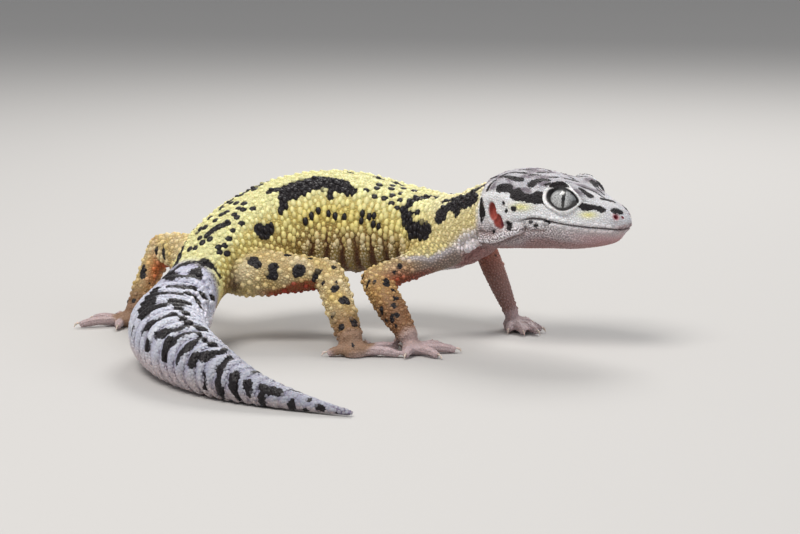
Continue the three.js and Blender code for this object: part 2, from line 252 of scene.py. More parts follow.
def read_rows(collection, name, width, kind=float):
    """One row of width numbers for each item of a mesh's collection."""
    flat = np.empty(len(collection) * width, kind)
    collection.foreach_get(name, flat)
    return flat.reshape(-1, width)


def read_places(mesh):
    return read_rows(mesh.vertices, "co", 3)


def read_normals(mesh):
    return read_rows(mesh.vertex_normals, "vector", 3)


def read_edges(mesh):
    return read_rows(mesh.edges, "vertices", 2, int)


def write_places(mesh, metres):
    mesh.vertices.foreach_set("co", metres.ravel())
    mesh.update()


def neighbour_mean(values, edges):
    """The mean of each vertex's neighbours, for one value or a row of them per vertex."""
    first, second = edges.T
    count = np.bincount(edges.ravel(), minlength=len(values))
    columns = values.reshape(len(values), -1)
    total = np.empty_like(columns)
    for i, column in enumerate(columns.T):
        total[:, i] = np.bincount(first, column[second], len(values))
        total[:, i] += np.bincount(second, column[first], len(values))
    return (total / np.maximum(count, 1)[:, None]).reshape(values.shape)


PULL_AND_PUSH = (0.6, -0.62)


def smoothed(points, edges, share, rounds):
    """Evens a surface out without shrinking it: each pull in is followed by a push out."""
    for _ in range(rounds):
        for pull in PULL_AND_PUSH:
            points = points + (neighbour_mean(points, edges) - points) * pull * share[:, None]
    return points


def relaxed(values, edges, rounds, share=0.5):
    """Blurs values over a surface."""
    for _ in range(rounds):
        values = values + (neighbour_mean(values, edges) - values) * share
    return values


def ramp(x, low, high):
    """0 below low, 1 above high and smooth between them."""
    t = np.clip((x - low) / (high - low), 0, 1)
    return t * t * (3 - 2 * t)


def bump(x, width):
    """1 at zero, falling smoothly to nothing a few widths away."""
    return np.exp(-((x / width) ** 2))


FAR = 5.0  # the distance that stands for no mark near


def stroke_distance(along, angle, reach, strokes):
    """How far each place lies outside the nearest stroke, in millimetres; below zero inside."""
    nearest = np.full(len(along), FAR)
    for half_width, *path in strokes:
        path = path if len(path) > 1 else path * 2
        for (along_0, angle_0), (along_1, angle_1) in zip(path[:-1], path[1:]):
            x = along - along_0
            y = arc(degrees_between(angle, angle_0), reach)
            run = along_1 - along_0
            rise = arc(degrees_between(angle_1, angle_0), reach)
            share = np.clip((x * run + y * rise) / (run**2 + rise**2 + 1e-9), 0, 1)
            gap = np.hypot(x - share * run, y - share * rise) - half_width
            nearest = np.minimum(nearest, gap)
    return nearest


# %% Grow, join and remesh
GROWTH = 0.25  # closes the cuts
VOXEL = 0.62
flesh = sorted(name for name in nodes if not name.startswith(("eye", "claw")))

bpy.ops.object.select_all(action="DESELECT")
for name in flesh + ["eye_right", "eye_left"]:
    nodes[name].select_set(True)
bpy.context.view_layer.objects.active = nodes["trunk"]
bpy.ops.object.duplicate()
bpy.ops.object.parent_clear(type="CLEAR_KEEP_TRANSFORM")
bpy.ops.object.join()
skin = bpy.context.object
skin.name = "skin"
for key in list(skin.keys()):
    del skin[key]
bpy.ops.object.mode_set(mode="EDIT")
bpy.ops.mesh.select_all(action="SELECT")
bpy.ops.mesh.remove_doubles(threshold=0.01 * MM)
bpy.ops.object.mode_set(mode="OBJECT")
skin.data.materials.clear()
finish_with(skin, "DISPLACE", strength=GROWTH * MM, mid_level=0)
finish_with(skin, "REMESH", mode="VOXEL", voxel_size=VOXEL * MM)
print("one shell of", len(skin.data.polygons), "faces")

# %% [markdown]
# Each point of the shell is told which solid it lies on, so that the head, tail, legs and feet can
# have their own smoothing, scales and colours. One search tree holds every solid's faces.

# %% Which solid a point belongs to
tree_points, tree_faces, tree_owner = [], [], []
for index, name in enumerate(flesh):
    mesh = nodes[name].data
    first = len(tree_points)
    tree_points += [vertex.co.copy() for vertex in mesh.vertices]
    for polygon in mesh.polygons:
        tree_faces.append([first + i for i in polygon.vertices])
        tree_owner.append(index)
flesh_tree = BVHTree.FromPolygons(tree_points, tree_faces)


def owner_of(metres):
    """The index of the solid nearest to each point."""
    return np.array([tree_owner[flesh_tree.find_nearest(Vector(p))[2]] for p in metres])


def is_any(owner, *starts):
    """Which points lie on a solid whose name starts with one of these."""
    chosen = [i for i, name in enumerate(flesh) if name.startswith(starts)]
    return np.isin(owner, chosen)


FOOT = ("hand", "foot")
LIMB = ("upper_arm", "forearm", "thigh", "shin")

# %% Split faces where finer points are needed
def refine(chosen):
    """Splits each face whose corners are all chosen in four."""
    mesh = skin.data
    only(skin)
    bpy.context.tool_settings.mesh_select_mode = (True, False, False)
    mesh.polygons.foreach_set("select", np.zeros(len(mesh.polygons), bool))
    mesh.edges.foreach_set("select", np.zeros(len(mesh.edges), bool))
    mesh.vertices.foreach_set("select", chosen)
    bpy.ops.object.mode_set(mode="EDIT")
    bpy.ops.mesh.subdivide(number_cuts=1, ngon=False)
    bpy.ops.object.mode_set(mode="OBJECT")


# %% Smooth the facets away, least on the thin toes
TOE_SMOOTHING = 0.3
MOST_REGAINED = 1.2  # how deep a shrunken toe may lie and still be pushed back out
CAD_EAR = {"back": 25.6, "height": 27.6, "radius": 4}  # the solids' ear pit, to be filled

owner = owner_of(read_places(skin.data))
refine(is_any(owner, *FOOT))
points = to_layout(read_places(skin.data))
edges = read_edges(skin.data)
owner = owner_of(read_places(skin.data))
share = np.where(is_any(owner, *FOOT), TOE_SMOOTHING, 1.0)
points = smoothed(points, edges, relaxed(share, edges, 4), 24)
metres = to_model(points)
for index in np.flatnonzero(is_any(owner, *FOOT)):
    place_there, facing, _, _ = flesh_tree.find_nearest(Vector(metres[index]))
    outside = (Vector(metres[index]) - place_there).dot(facing) / MM
    if GROWTH - MOST_REGAINED < outside < GROWTH:
        points[index] += np.array(facing) * (GROWTH - outside)
points = smoothed(points, edges, 0.8 * share, 3)
back, out, height = in_head_frame(points)
old_ears = np.hypot(back - CAD_EAR["back"], height - CAD_EAR["height"]) < CAD_EAR["radius"]
old_ears &= is_any(owner, "head")
for _ in range(150):
    points[old_ears] = neighbour_mean(points, edges)[old_ears]
write_places(skin.data, to_model(points))
print("smoothed; ear pits filled over", old_ears.sum(), "points")

# %% [markdown]
# A voxel remesh gives the same detail everywhere. The head and the feet need finer points than the
# flanks, and the lids, lips and nostrils finer ones still, so chosen faces are split where they are.

# %% Refine the head and then the face's openings
MOUTH_LINE = [(-1, 25.4), (0.5, 25.4), (3, 25.8), (7, 26.1), (10, 26.5), (13.5, 27.1), (16, 27.6),
              (18.5, 27.5), (20.5, 26.8)]  # (back, height)
NOSTRIL = {"back": 1.7, "out": 3.4, "height": 28.3, "radius": 0.6}
EAR = {"back": 25.4, "height": 27.9, "lean": 0.14}
EAR_LOBES = [(26.3, 28.6, 1.1, 2.1), (24.9, 26.7, 1.3, 1.7)]  # back, height, half width, half length
HEAD = ("head", "lower_jaw")
mouth_at = smooth_curve(MOUTH_LINE)

refine(is_any(owner, *HEAD))
points = to_layout(read_places(skin.data))
back, out, height = in_head_frame(points)
near_eye = (np.hypot(back - 11.6, height - 31.8) < 5.2) & (np.abs(out) > 3.5)
near_mouth = (np.abs(height - mouth_at(back)) < 0.9) & (back < 21)
near_nostril = np.hypot(back - NOSTRIL["back"], height - NOSTRIL["height"]) < 1.5
near_ear = np.hypot(back - EAR["back"], height - EAR["height"]) < 3.4
near_opening = near_eye | near_mouth | near_nostril | near_ear
owner = owner_of(read_places(skin.data))
refine(near_opening & is_any(owner, *HEAD) & (back > -1))
owner = owner_of(read_places(skin.data))
edges = read_edges(skin.data)
points = to_layout(read_places(skin.data))
share = relaxed(is_any(owner, *HEAD) + TOE_SMOOTHING * is_any(owner, *FOOT), edges, 4)
points = smoothed(points, edges, share, 5)
write_places(skin.data, to_model(points))
print("refined skin:", len(skin.data.polygons), "faces")

# %% [markdown]
# The skin is unwrapped now, while it is smooth, so that the islands stay few. Each scale later
# takes a tiny patch of this map at its root.

# %% Unwrap the skin
only(skin)
bpy.ops.object.mode_set(mode="EDIT")
bpy.ops.mesh.select_all(action="SELECT")
bpy.ops.uv.smart_project(angle_limit=math.radians(66), island_margin=0.002)
bpy.ops.object.mode_set(mode="OBJECT")
skin.data.uv_layers[0].name = "OFBake"
print("unwrapped")

# %% Every skin point's place on spine, head and legs
station, girth, reach, spine_forward = on_spine(points)
back, out, height = in_head_frame(points)
head_angle = np.degrees(np.arctan2(height - HEAD_AXIS_HEIGHT, out))
head_reach = np.hypot(out, height - HEAD_AXIS_HEIGHT)
on_head = is_any(owner, *HEAD)
on_foot = is_any(owner, *FOOT)
on_limb = is_any(owner, *LIMB)
on_tail = is_any(owner, "tail")
on_body = ~(on_head | on_foot | on_limb | on_tail)
normals = read_normals(skin.data)
print("points on body", on_body.sum(), "head", on_head.sum(), "tail", on_tail.sum())

# %% [markdown]
# ## Modelling the skin
#
# First the whole skin is drawn in by the depth of the coat. Then come the forms that belong to the
# skin itself: the tail's rings, the upright folds low on the flank, wrinkles on the neck, and on
# the head the lids, the mouth, the nostrils and the ears.

# %% Draw the skin in under the scales
COAT_DEPTH = {"head": 0.12, "foot": 0.1, "limb": 0.28, "tail": 0.28, "body": 0.34}
coat_depth = np.select([on_head, on_foot, on_limb, on_tail],
                       [COAT_DEPTH[part] for part in ("head", "foot", "limb", "tail")], COAT_DEPTH["body"])
coat_depth = relaxed(coat_depth, edges, 12)
push = -(GROWTH + coat_depth)
print("coat", round(float(coat_depth.min()), 2), "to", round(float(coat_depth.max()), 2), "mm deep")

# %% Rings round the tail
FIRST_RING, LAST_RING = -13.0, -90
ring_length_at = smooth_curve([(-94, 1.7), (-70, 2.2), (-50, 2.8), (-30, 3.0), (-12, 2.6)])
rings = [FIRST_RING]
while rings[-1] > LAST_RING:
    rings.append(rings[-1] - float(ring_length_at(rings[-1])))
rings = np.array(rings)
wander = 0.35 * np.sin(np.radians(girth * 2 + station * 40)) + 0.2 * np.sin(np.radians(girth * 5))
ring_index = np.clip(np.searchsorted(-rings, -(station + wander)), 1, len(rings) - 1)
ring_start, ring_end = rings[ring_index - 1], rings[ring_index]
ring_share = np.clip((ring_start - station - wander) / (ring_start - ring_end), 0, 1)
ring_form = 1.2 * ring_share**0.6 * (1 - ring_share**7)  # swells slowly, then drops
tail_weight = relaxed(on_tail.astype(float), edges, 10) * ramp(-station, 11, 20)
push += tail_weight * (1.05 * ring_form - 0.6) * ramp(reach, 1.0, 5.5)
print(len(rings), "rings")

# %% Folds on the flank, belly edge and neck
girth_side = np.where(np.abs(girth) > 90, 180 - np.abs(girth), np.abs(girth)) * np.sign(girth)
low_flank = ramp(girth_side, -82, -64) * (1 - ramp(girth_side, -12, 14))
FOLDS = [(6.5, -3), (11.8, -2), (17.1, -1), (22.3, 0), (27.5, 1), (31.8, 2), (35.8, 3), (39.9, 4),
         (43.2, 5), (46, 6), (48.7, 7), (54, 9)]  # (station, number) of the upright folds
fold_number = smooth_curve(FOLDS)(station + 0.3 * np.sin(girth_side / 9))
ribs = np.cos(2 * np.pi * fold_number)
along_flank = ramp(station, 12, 20) * (1 - ramp(station, 44, 52))
push += on_body * low_flank * along_flank * 0.45 * ribs
groin_fold = bump(girth_side + 42 - 0.5 * (station - 28), 7)
push -= on_body * along_flank * 0.35 * groin_fold
neck_lines = np.sin(2 * np.pi * (station + 0.02 * girth) / 3.1)
push += on_body * ramp(station, 52, 57) * 0.16 * neck_lines * (1 - ramp(girth_side, 30, 60))

points = points + normals * push[:, None]
write_places(skin.data, to_model(points))
print("drawn in by", round(float(-push.mean()), 2), "mm on average")

# %% [markdown]
# ## The face
#
# A gecko of this kind has true lids. They lie round the eyeball like a thick pale ring, so the skin
# there is set on spheres a little larger than the eyeball, and dives under it inside the opening.
# The mouth is a long line that rises behind the eye, with a fuller upper lip.

# %% Lids
SIDES = (("right", 1), ("left", -1))
EYEBALL = {"back": 11.85, "out": 5.05, "height": 31.15, "radius": 3.6}
OPENING = (3.5, 2.08)  # half length and half height, measured over the ball
REAR_SHARE = 0.75  # the opening reaches less far back than ahead
LID_TILT = 0.14  # how far the front corner lies lower than the rear one
LID_WIDTH = 2.9
GAZE_RISE = math.radians(17)
LID_ROWS = [(0, -1.1), (0.9, -1), (0.98, -0.1), (1.06, 0.28), (1.18, 0.5), (1.34, 0.5),
            (1.52, 0.15), (1.7, 0.1)]  # (share of the opening, rise over the ball)
lid_at = smooth_curve(LID_ROWS)
ROUNDNESS = 2.3  # 2 is an ellipse; more is squarer
NOT_NEAR = 9.0


def eye_frame(sign):
    """Middle of the eyeball, and the ways forward, up and out of it."""
    middle = in_head(EYEBALL["back"], EYEBALL["out"] * sign, EYEBALL["height"])
    outward = head_right * sign * math.cos(GAZE_RISE) + up * math.sin(GAZE_RISE)
    upward = up * math.cos(GAZE_RISE) - head_right * sign * math.sin(GAZE_RISE)
    return middle, head_forward, upward, outward


def around_eye(points, sign):
    """Place over the eyeball: ahead, above, share of the opening, and the way to each point."""
    middle, ahead, above, outward = eye_frame(sign)
    off = points - middle
    distance = np.linalg.norm(off, axis=1)
    way = off / distance[:, None]
    u = EYEBALL["radius"] * np.arctan2(way @ ahead, way @ outward)
    u = np.where(u < 0, u / REAR_SHARE, u)
    v = EYEBALL["radius"] * np.arctan2(way @ above, way @ outward)
    low = v + LID_TILT * u
    ring = (np.abs(u / OPENING[0]) ** ROUNDNESS + np.abs(low / OPENING[1]) ** ROUNDNESS) ** (1 / ROUNDNESS)
    ring += 1e-6
    opening = 1 + (ring - 1) * np.hypot(u, low) / (ring * LID_WIDTH)
    opening = np.where(np.abs(distance - EYEBALL["radius"]) < 2.5, opening, NOT_NEAR)
    return u, v, opening, way, distance


lid_share = np.full(len(points), NOT_NEAR)
lid_rise = np.zeros(len(points))
lid_ahead = np.zeros(len(points))
for name, sign in SIDES:
    u, v, opening, way, distance = around_eye(points, sign)
    weight = (1 - ramp(opening, 1.3, 1.85)) * on_head
    lift = lid_at(opening) * (1 - 0.7 * ramp(v, 1.5, 2.4))
    lift += 0.9 * ramp(-u, 1.6, 4) * ramp(opening, 1, 1.3)  # thickest at the rear
    target = EYEBALL["radius"] + lift
    shift = (target - distance) * weight
    points = points + way * shift[:, None]
    buried = np.maximum(EYEBALL["radius"] + 0.2 - distance, 0) * on_head * (opening > 1.3)
    print(name, "eye stood out of the skin by up to", round(float(buried.max()), 2), "mm")
    points = points + way * np.maximum(buried, relaxed(buried, edges, 6))[:, None]
    crease = bump(opening - 1.58, 0.06) * (1 - ramp(v, 0, 1.5)) + bump(opening - 1.7, 0.1) * ramp(v, 0, 1.5)
    points = points - way * (0.2 * crease * on_head)[:, None]
    closer = opening < lid_share
    lid_share = np.where(closer, opening, lid_share)
    lid_rise = np.where(closer, v, lid_rise)
    lid_ahead = np.where(closer, u, lid_ahead)
print("lid points", int((lid_share < 1.4).sum()))

# %% Mouth and nostrils
write_places(skin.data, to_model(points))
normals = read_normals(skin.data)
side = np.abs(out)
push = np.zeros(len(points))
above_mouth = height - mouth_at(back)
mouth_fade = (1 - ramp(back, 18, 20.8)) * on_head * ramp(height, 23, 24)
mouth_width = 0.17 + 0.1 * ramp(back, 12, 15) * (1 - ramp(back, 16, 19))
push -= mouth_fade * 0.42 * bump(above_mouth, mouth_width)
push += mouth_fade * (0.14 * bump(above_mouth - 0.7, 0.5) + 0.08 * bump(above_mouth + 0.6, 0.4))
nostril_gap = np.sqrt((back - NOSTRIL["back"]) ** 2 + (height - NOSTRIL["height"]) ** 2
                      + (side - NOSTRIL["out"]) ** 2)
push -= on_head * 0.9 * (1 - ramp(nostril_gap, 0.2, NOSTRIL["radius"]))
push += on_head * 0.18 * bump(nostril_gap - 0.9, 0.3)
print("mouth and nostrils up to", round(float(-push.min()), 2), "mm deep")

# %% Ears
lobe_gaps = []
for lobe_back, lobe_height, half_width, half_length in EAR_LOBES:
    rise = height - lobe_height
    lobe_gaps.append(np.hypot((back - lobe_back - EAR["lean"] * rise) / half_width, rise / half_length))
ear_gap = np.minimum(*lobe_gaps)
ear_gap = np.where(on_head & (side > 5), ear_gap, NOT_NEAR)
push -= 1.1 * (1 - ramp(ear_gap, 0.5, 1.0))
push += 0.12 * bump(ear_gap - 1.25, 0.25)
print("points in the ears:", int((ear_gap < 1).sum()))

# %% Folds of the cheek, jaw and throat, each along a line
EAR_FLAP = [(0, (28.3, 8), (27.6, 17), (27, 27), (26.6, 38))]
JAW_LINE = [(0, (22.5, -18), (20, -18), (17.9, -20), (15, -21))]
COLLAR_ON_HEAD = [(0, (20.5, -18), (23, -23), (26, -32), (29.4, -37))]
COLLAR_ON_NECK = [(0, (66, -36), (62.9, -33), (61.1, -30), (59.4, -38), (58, -52))]

lore = bump(back - 6.2, 2.2) * bump(height - 29.6, 1.3) * ramp(side, 3, 5)
push -= on_head * 0.3 * lore
side_angle = np.degrees(np.arctan2(height - HEAD_AXIS_HEIGHT, side))
flap = stroke_distance(back, side_angle, head_reach, EAR_FLAP)
push += on_head * 0.3 * bump(flap, 0.7)
jaw_fold = stroke_distance(back, side_angle, head_reach, JAW_LINE)
push -= on_head * 0.22 * bump(jaw_fold, 0.28)
collar_gap = np.where(on_head, stroke_distance(back, side_angle, head_reach, COLLAR_ON_HEAD), FAR)
neck_gap = stroke_distance(station, girth_side, reach, COLLAR_ON_NECK)
collar_gap = relaxed(np.where(on_body, neck_gap, collar_gap), edges, 4)
push += 1.0 * bump(collar_gap, 0.75) - 0.5 * bump(collar_gap - 1.7, 0.5)
points = points + normals * push[:, None]
print("folds pushed out by up to", round(float(push.max()), 2), "mm")

# %% A fuller chin, and soles flat on the floor
CHIN_DEPTH, SNOUT_DROP = 0.85, 0.5
SOLE_HEIGHT = 0.7
chin = CHIN_DEPTH * ramp(back, -0.5, 2.5) * (1 - ramp(back, 5, 17)) * ramp(-above_mouth, 0.8, 3)
points[:, 2] -= on_head * (chin + SNOUT_DROP * (1 - ramp(back, -0.5, 2.5)) * ramp(height, 27, 29))
points[:, 2] = np.maximum(points[:, 2], 0.02)
sole = on_foot & (points[:, 2] < SOLE_HEIGHT)
points[sole, 2] *= ramp(points[sole, 2], 0.1, SOLE_HEIGHT)
write_places(skin.data, to_model(points))
normals = read_normals(skin.data)
print("lowest point at", round(float(points[:, 2].min()), 3), "mm")

# %% [markdown]
# ## The marks
#
# The black marks are strokes: each has half a width in millimetres and a path of places, by station
# and girth on the body and tail, and by distance from the snout and angle round it on the head.
# The distance to the nearest stroke is kept on every skin point, and the finish turns it black
# where the distance falls below zero. The side that faces away repeats them, mirrored and shifted.

# %% Strokes on the back, flank, neck and pelvis
BODY_STROKES = [
    # the long blotch on the back
    (0.8, (9.9, 70), (12, 68), (14, 62)), (1.3, (13, 60), (12, 50), (11.2, 40)),
    (1.9, (14.5, 58), (18, 57), (21, 60), (24, 60), (27, 56), (29.5, 54)),
    (1.1, (14, 66), (18, 67), (23, 68), (27, 63), (30, 60)), (1.1, (14, 52), (15.5, 50)),
    (1.2, (26.5, 50), (26.2, 42)), (1.2, (29.5, 50), (32.3, 51)),
    # flank
    (1.3, (3.2, 32), (5, 27)), (1.4, (4.2, 25), (6, 20)), (1.0, (6.6, 25), (7, 21)),
    # shoulder
    (0.75, (50.6, 73), (49, 68), (47.6, 62), (46.7, 52), (46.5, 44)),
    (0.8, (46.5, 44), (45.6, 34), (46.2, 28), (46.8, 22)), (0.75, (46.5, 33), (48.8, 36)),
    (1.7, (48.6, 14), (50.4, 13), (51.4, 11)), (1.3, (49, 7), (51.6, 6)), (0.8, (47.2, 21), (48.4, 18)),
    # neck
    (1.4, (54.4, 38), (54.6, 28)), (1.2, (54.8, 40), (55.6, 50), (57, 56)), (0.7, (57.4, 46), (58.2, 29)),
    (0.7, (56.8, 42), (57.6, 36)), (1.3, (58.6, 54), (60.4, 52)), (1.35, (59.6, 43), (60.8, 43)),
    (0.8, (58.8, 60), (61, 70), (62.5, 80)), (0.6, (53.4, 62), (56.4, 66)),
    # far side, just over the back
    (1.1, (2.5, 108), (6, 106), (9, 102), (11.5, 99)), (0.5, (29, 88), (31, 86)),
    (0.5, (35.5, 89), (37.5, 88)), (0.55, (39.5, 90), (42, 86)), (0.6, (14, 112), (26, 116), (32, 112)),
    # pelvis
    (0.95, (-7.4, 134), (-9, 129), (-11.5, 124)),
    (0.75, (-6.3, 86), (-4.4, 78), (-2.4, 68)),
]
DOTS = [  # (station, girth) of the small round ones on the back
    (36.1, 55), (38.1, 50), (38.1, 69), (37.7, 62), (40.1, 47), (40.4, 70), (41.7, 55), (42.2, 44),
    (43.8, 39), (43.2, 64), (44, 51), (45.5, 78), (43, 77), (40.8, 80),
    (6.3, 99), (3.1, 97), (3.6, 75), (1.1, 100), (1.7, 76), (2.5, 67), (4.1, 60), (-1.3, 91),
    (-0.1, 83), (0.4, 71), (-0.2, 65), (-0.5, 54), (-5, 98), (-3, 56), (-4.3, 52), (-6.9, 95),
    (-7, 80), (-5.9, 50), (-7.8, 89), (-8.8, 94), (-9.2, 106), (-7.4, 57), (-8, 51), (-6.1, 39),
    (-3, 90), (-5, 106), (-1.8, 104), (3, 88), (8.2, 92),
]
FLANK_SPOTS = [  # single dark tubercles
    (18.2, 20), (20, 23), (22, 27), (26.3, 21), (28.3, 17), (30, 16), (35.3, 27), (36.7, 17), (38.6, 25),
    (38.8, 13), (40.6, 15), (39.5, 19), (37, 21),
]
DOT_HALF = 0.4
BODY_STROKES += [(DOT_HALF, spot) for spot in DOTS + FLANK_SPOTS]
print(len(BODY_STROKES), "strokes on the body")

# %% Strokes on the tail, along its rings
TAIL_STROKES = [
    # the dark root
    (0.7, (-13.9, 136), (-16.4, 112), (-17, 100)), (0.3, (-17, 100), (-17.4, 84)),
    (0.45, (-16.2, 110), (-14.3, 113), (-13.5, 108)), (0.25, (-13.5, 108), (-12.9, 101), (-12.5, 91)),
    (0.12, (-12.5, 91), (-12.1, 83), (-11.9, 75)), (0.5, (-11.6, 69), (-11.2, 60)),
    (0.3, (-11.2, 60), (-10.8, 48)), (0.1, (-10.7, 47), (-10.4, 32), (-9.8, 17)),
    (0.7, (-15.2, 74), (-14.4, 66), (-15.3, 60)), (0.4, (-17, 78), (-15.9, 66), (-15.7, 56)),
    (0.04, (-12.2, 42), (-11.8, 26), (-10.3, 6)), (0.02, (-13.8, 42), (-13.8, 30)),
    # rows down the thick part
    (0.5, (-22.4, 86), (-22.2, 77), (-21.9, 64), (-20.5, 54)), (0.3, (-23.5, 96)),
    (0.5, (-27.6, 112), (-29, 98), (-28.3, 87), (-28.7, 79), (-28.4, 68)),
    (0.5, (-28.4, 68), (-26.8, 59), (-26.5, 52)),
    (0.75, (-26, 46), (-27.5, 39), (-30, 33)), (0.36, (-20.1, 42), (-19.4, 24)),
    (0.25, (-16.3, 21), (-14.4, 4)), (0.75, (-23.8, 116), (-30, 117)), (1.35, (-30, 117), (-34.9, 123)),
    (1.6, (-34.6, 124), (-38, 132)), (0.6, (-38.7, 127), (-39.1, 112)), (0.45, (-39.1, 110), (-37.6, 93)),
    (1.0, (-36.7, 83), (-37, 72)), (0.75, (-37, 72), (-34.6, 57)), (0.75, (-40.3, 81), (-43.4, 74)),
    (0.5, (-43.4, 74), (-45.6, 67)), (0.25, (-37.5, 161), (-37, 176)),
    (0.5, (-43.2, 159), (-43.2, 151), (-44.4, 139), (-45, 124), (-45.2, 106), (-45, 93)),
    (0.5, (-45.4, 91), (-48, 86)), (0.85, (-48.4, 86), (-50.7, 83), (-51.7, 75), (-52.6, 64)),
    (0.9, (-48.7, 145), (-49.6, 138)), (0.6, (-50, 135), (-50.9, 128), (-51.5, 115), (-51.5, 96)),
    # the bend
    (0.36, (-46.6, 162), (-46.5, 178)), (0.5, (-53.4, 177), (-52.9, 165), (-53, 152)),
    (1.0, (-53.1, 148), (-53.7, 139)), (0.55, (-54, 132), (-54.4, 112), (-54.5, 96)),
    (0.36, (-54.6, 95), (-55.8, 89), (-58.1, 91), (-60, 92)), (0.6, (-60.2, 93), (-61, 82)),
    (0.42, (-57, 172), (-57.2, 158)), (0.55, (-57.3, 157), (-57.9, 143), (-58.1, 127)),
    (0.34, (-58.1, 126), (-57.9, 112), (-57.7, 92)), (0.75, (-60.5, 161), (-60.8, 146), (-61.6, 134)),
    (0.9, (-62.6, 134), (-63.3, 122)), (0.3, (-63.3, 113), (-63.9, 91), (-62.8, 65)),
    (0.36, (-63.9, 172), (-64.1, -171), (-63.8, -151)), (0.4, (-67.3, 178), (-67.1, 152)),
    (0.75, (-67, 148), (-66.9, 134)), (0.5, (-66.9, 130), (-66.8, 112), (-66.4, 86)),
    (0.6, (-67.1, 178), (-67.3, -163), (-66.9, -136)),
    # towards the tip
    (0.5, (-70.5, 130), (-70.4, 138)), (0.85, (-70.3, 148), (-70.3, 174)),
    (0.42, (-70.4, 176), (-70.8, -160), (-71.2, -136)), (0.72, (-73.1, 148), (-73.3, 168)),
    (0.35, (-73.3, 170), (-73.5, -166)), (0.3, (-72.4, 95), (-72.2, 66)), (0.75, (-76, 148), (-77, 150)),
    (0.85, (-77.3, 150), (-79.2, 142)), (0.5, (-76.4, 168), (-75.9, -166), (-75.9, -130)),
    (0.45, (-82.2, 174), (-81.9, -160)), (0.6, (-82, -156), (-82, -126)), (0.3, (-81.2, 90), (-82.8, 74)),
    (0.5, (-84.5, -136), (-85, -118)), (0.3, (-85.3, 142), (-85.5, 112)), (0.8, (-87.8, 178), (-87.8, -172)),
    (0.3, (-91, -150)),
]
# Near the root a stroke is wider along the tail than round it: a step there counts as a shorter one.
TAIL_WARP = [(-95, -73), (-60, -38), (-50, -29.5), (-42, -23.5), (-30, -16.5), (-10, -5.5), (0, 0)]
print(len(TAIL_STROKES), "strokes on the tail")

# %% Strokes on the head, by distance from the snout and angle round its axis
HEAD_STROKES = [
    # from the temple to the eye
    (1.15, (24.9, 31), (23.3, 31)), (0.5, (22.5, 28), (21.8, 26)), (1.3, (21.2, 23), (20.6, 22)),
    (1.0, (20.6, 22), (19.3, 20.5), (17.9, 19.5)), (1.35, (16.9, 21.5), (14.8, 21.5)),
    (0.5, (20.8, 30)), (0.75, (16.7, 28)),
    # crown
    (0.7, (18.6, 39), (18.4, 43)), (0.55, (18.4, 45), (17.3, 52)), (0.38, (17.3, 52), (15.8, 55)),
    (0.38, (26.3, 54), (24.2, 50)), (0.52, (24.2, 50), (22.7, 47)), (0.65, (22.3, 46), (21.2, 46)),
    (0.32, (25.9, 60), (25.3, 64), (23.9, 64), (21.1, 62)), (0.22, (20.1, 59), (18.2, 64)),
    (0.38, (19, 72), (17.6, 83)), (0.32, (23.4, 78), (21.6, 84)), (0.35, (15.9, 65), (14.9, 73)),
    (0.36, (13.4, 77), (12.2, 80), (11.1, 84)), (0.28, (13.4, 97), (12.2, 91)),
    (0.32, (15.8, 44), (15.2, 47)), (0.38, (13.8, 54), (12.6, 56), (11.4, 54)),
    # forehead to snout
    (0.17, (9.5, 62), (8.1, 72), (6.8, 78), (5.4, 78)), (0.65, (8.3, 49), (7.6, 47), (7, 46)),
    (0.45, (5.1, 60), (4.3, 75), (3.5, 95)), (0.75, (9.3, 121), (8.6, 121)), (0.25, (8.6, 121), (7.2, 121)),
    (0.3, (8.2, 135)),
    # before the eye, and over the nostril
    (0.78, (7.2, 16), (6.6, 17)), (0.55, (6.2, 19), (5.1, 20)), (0.65, (4.7, 19), (4.1, 16)),
    (0.8, (1.9, 21.5), (1.5, 25.5)),
    # cheek
    (0.4, (23.6, 11)), (0.42, (22.9, 3)), (0.66, (21.1, 6)), (0.85, (22.1, -14)), (0.42, (22.6, -10)),
    (0.32, (17.8, -10)), (0.48, (16.6, -13.5)), (0.36, (14.1, -11), (14.6, -9)), (0.26, (18.9, -17)),
    (0.42, (26.1, -23)),
    # behind the ear, and nape
    (0.45, (29.6, 16), (29.2, 12)), (0.85, (29.2, 8), (29, -1), (28.9, -5)), (0.3, (28.8, -5), (29, -14)),
    (0.45, (30.4, 62), (29.5, 62), (27.9, 60)), (0.45, (28.3, 29), (28.2, 37), (27.2, 45)),
]
print(len(HEAD_STROKES), "strokes on the head")

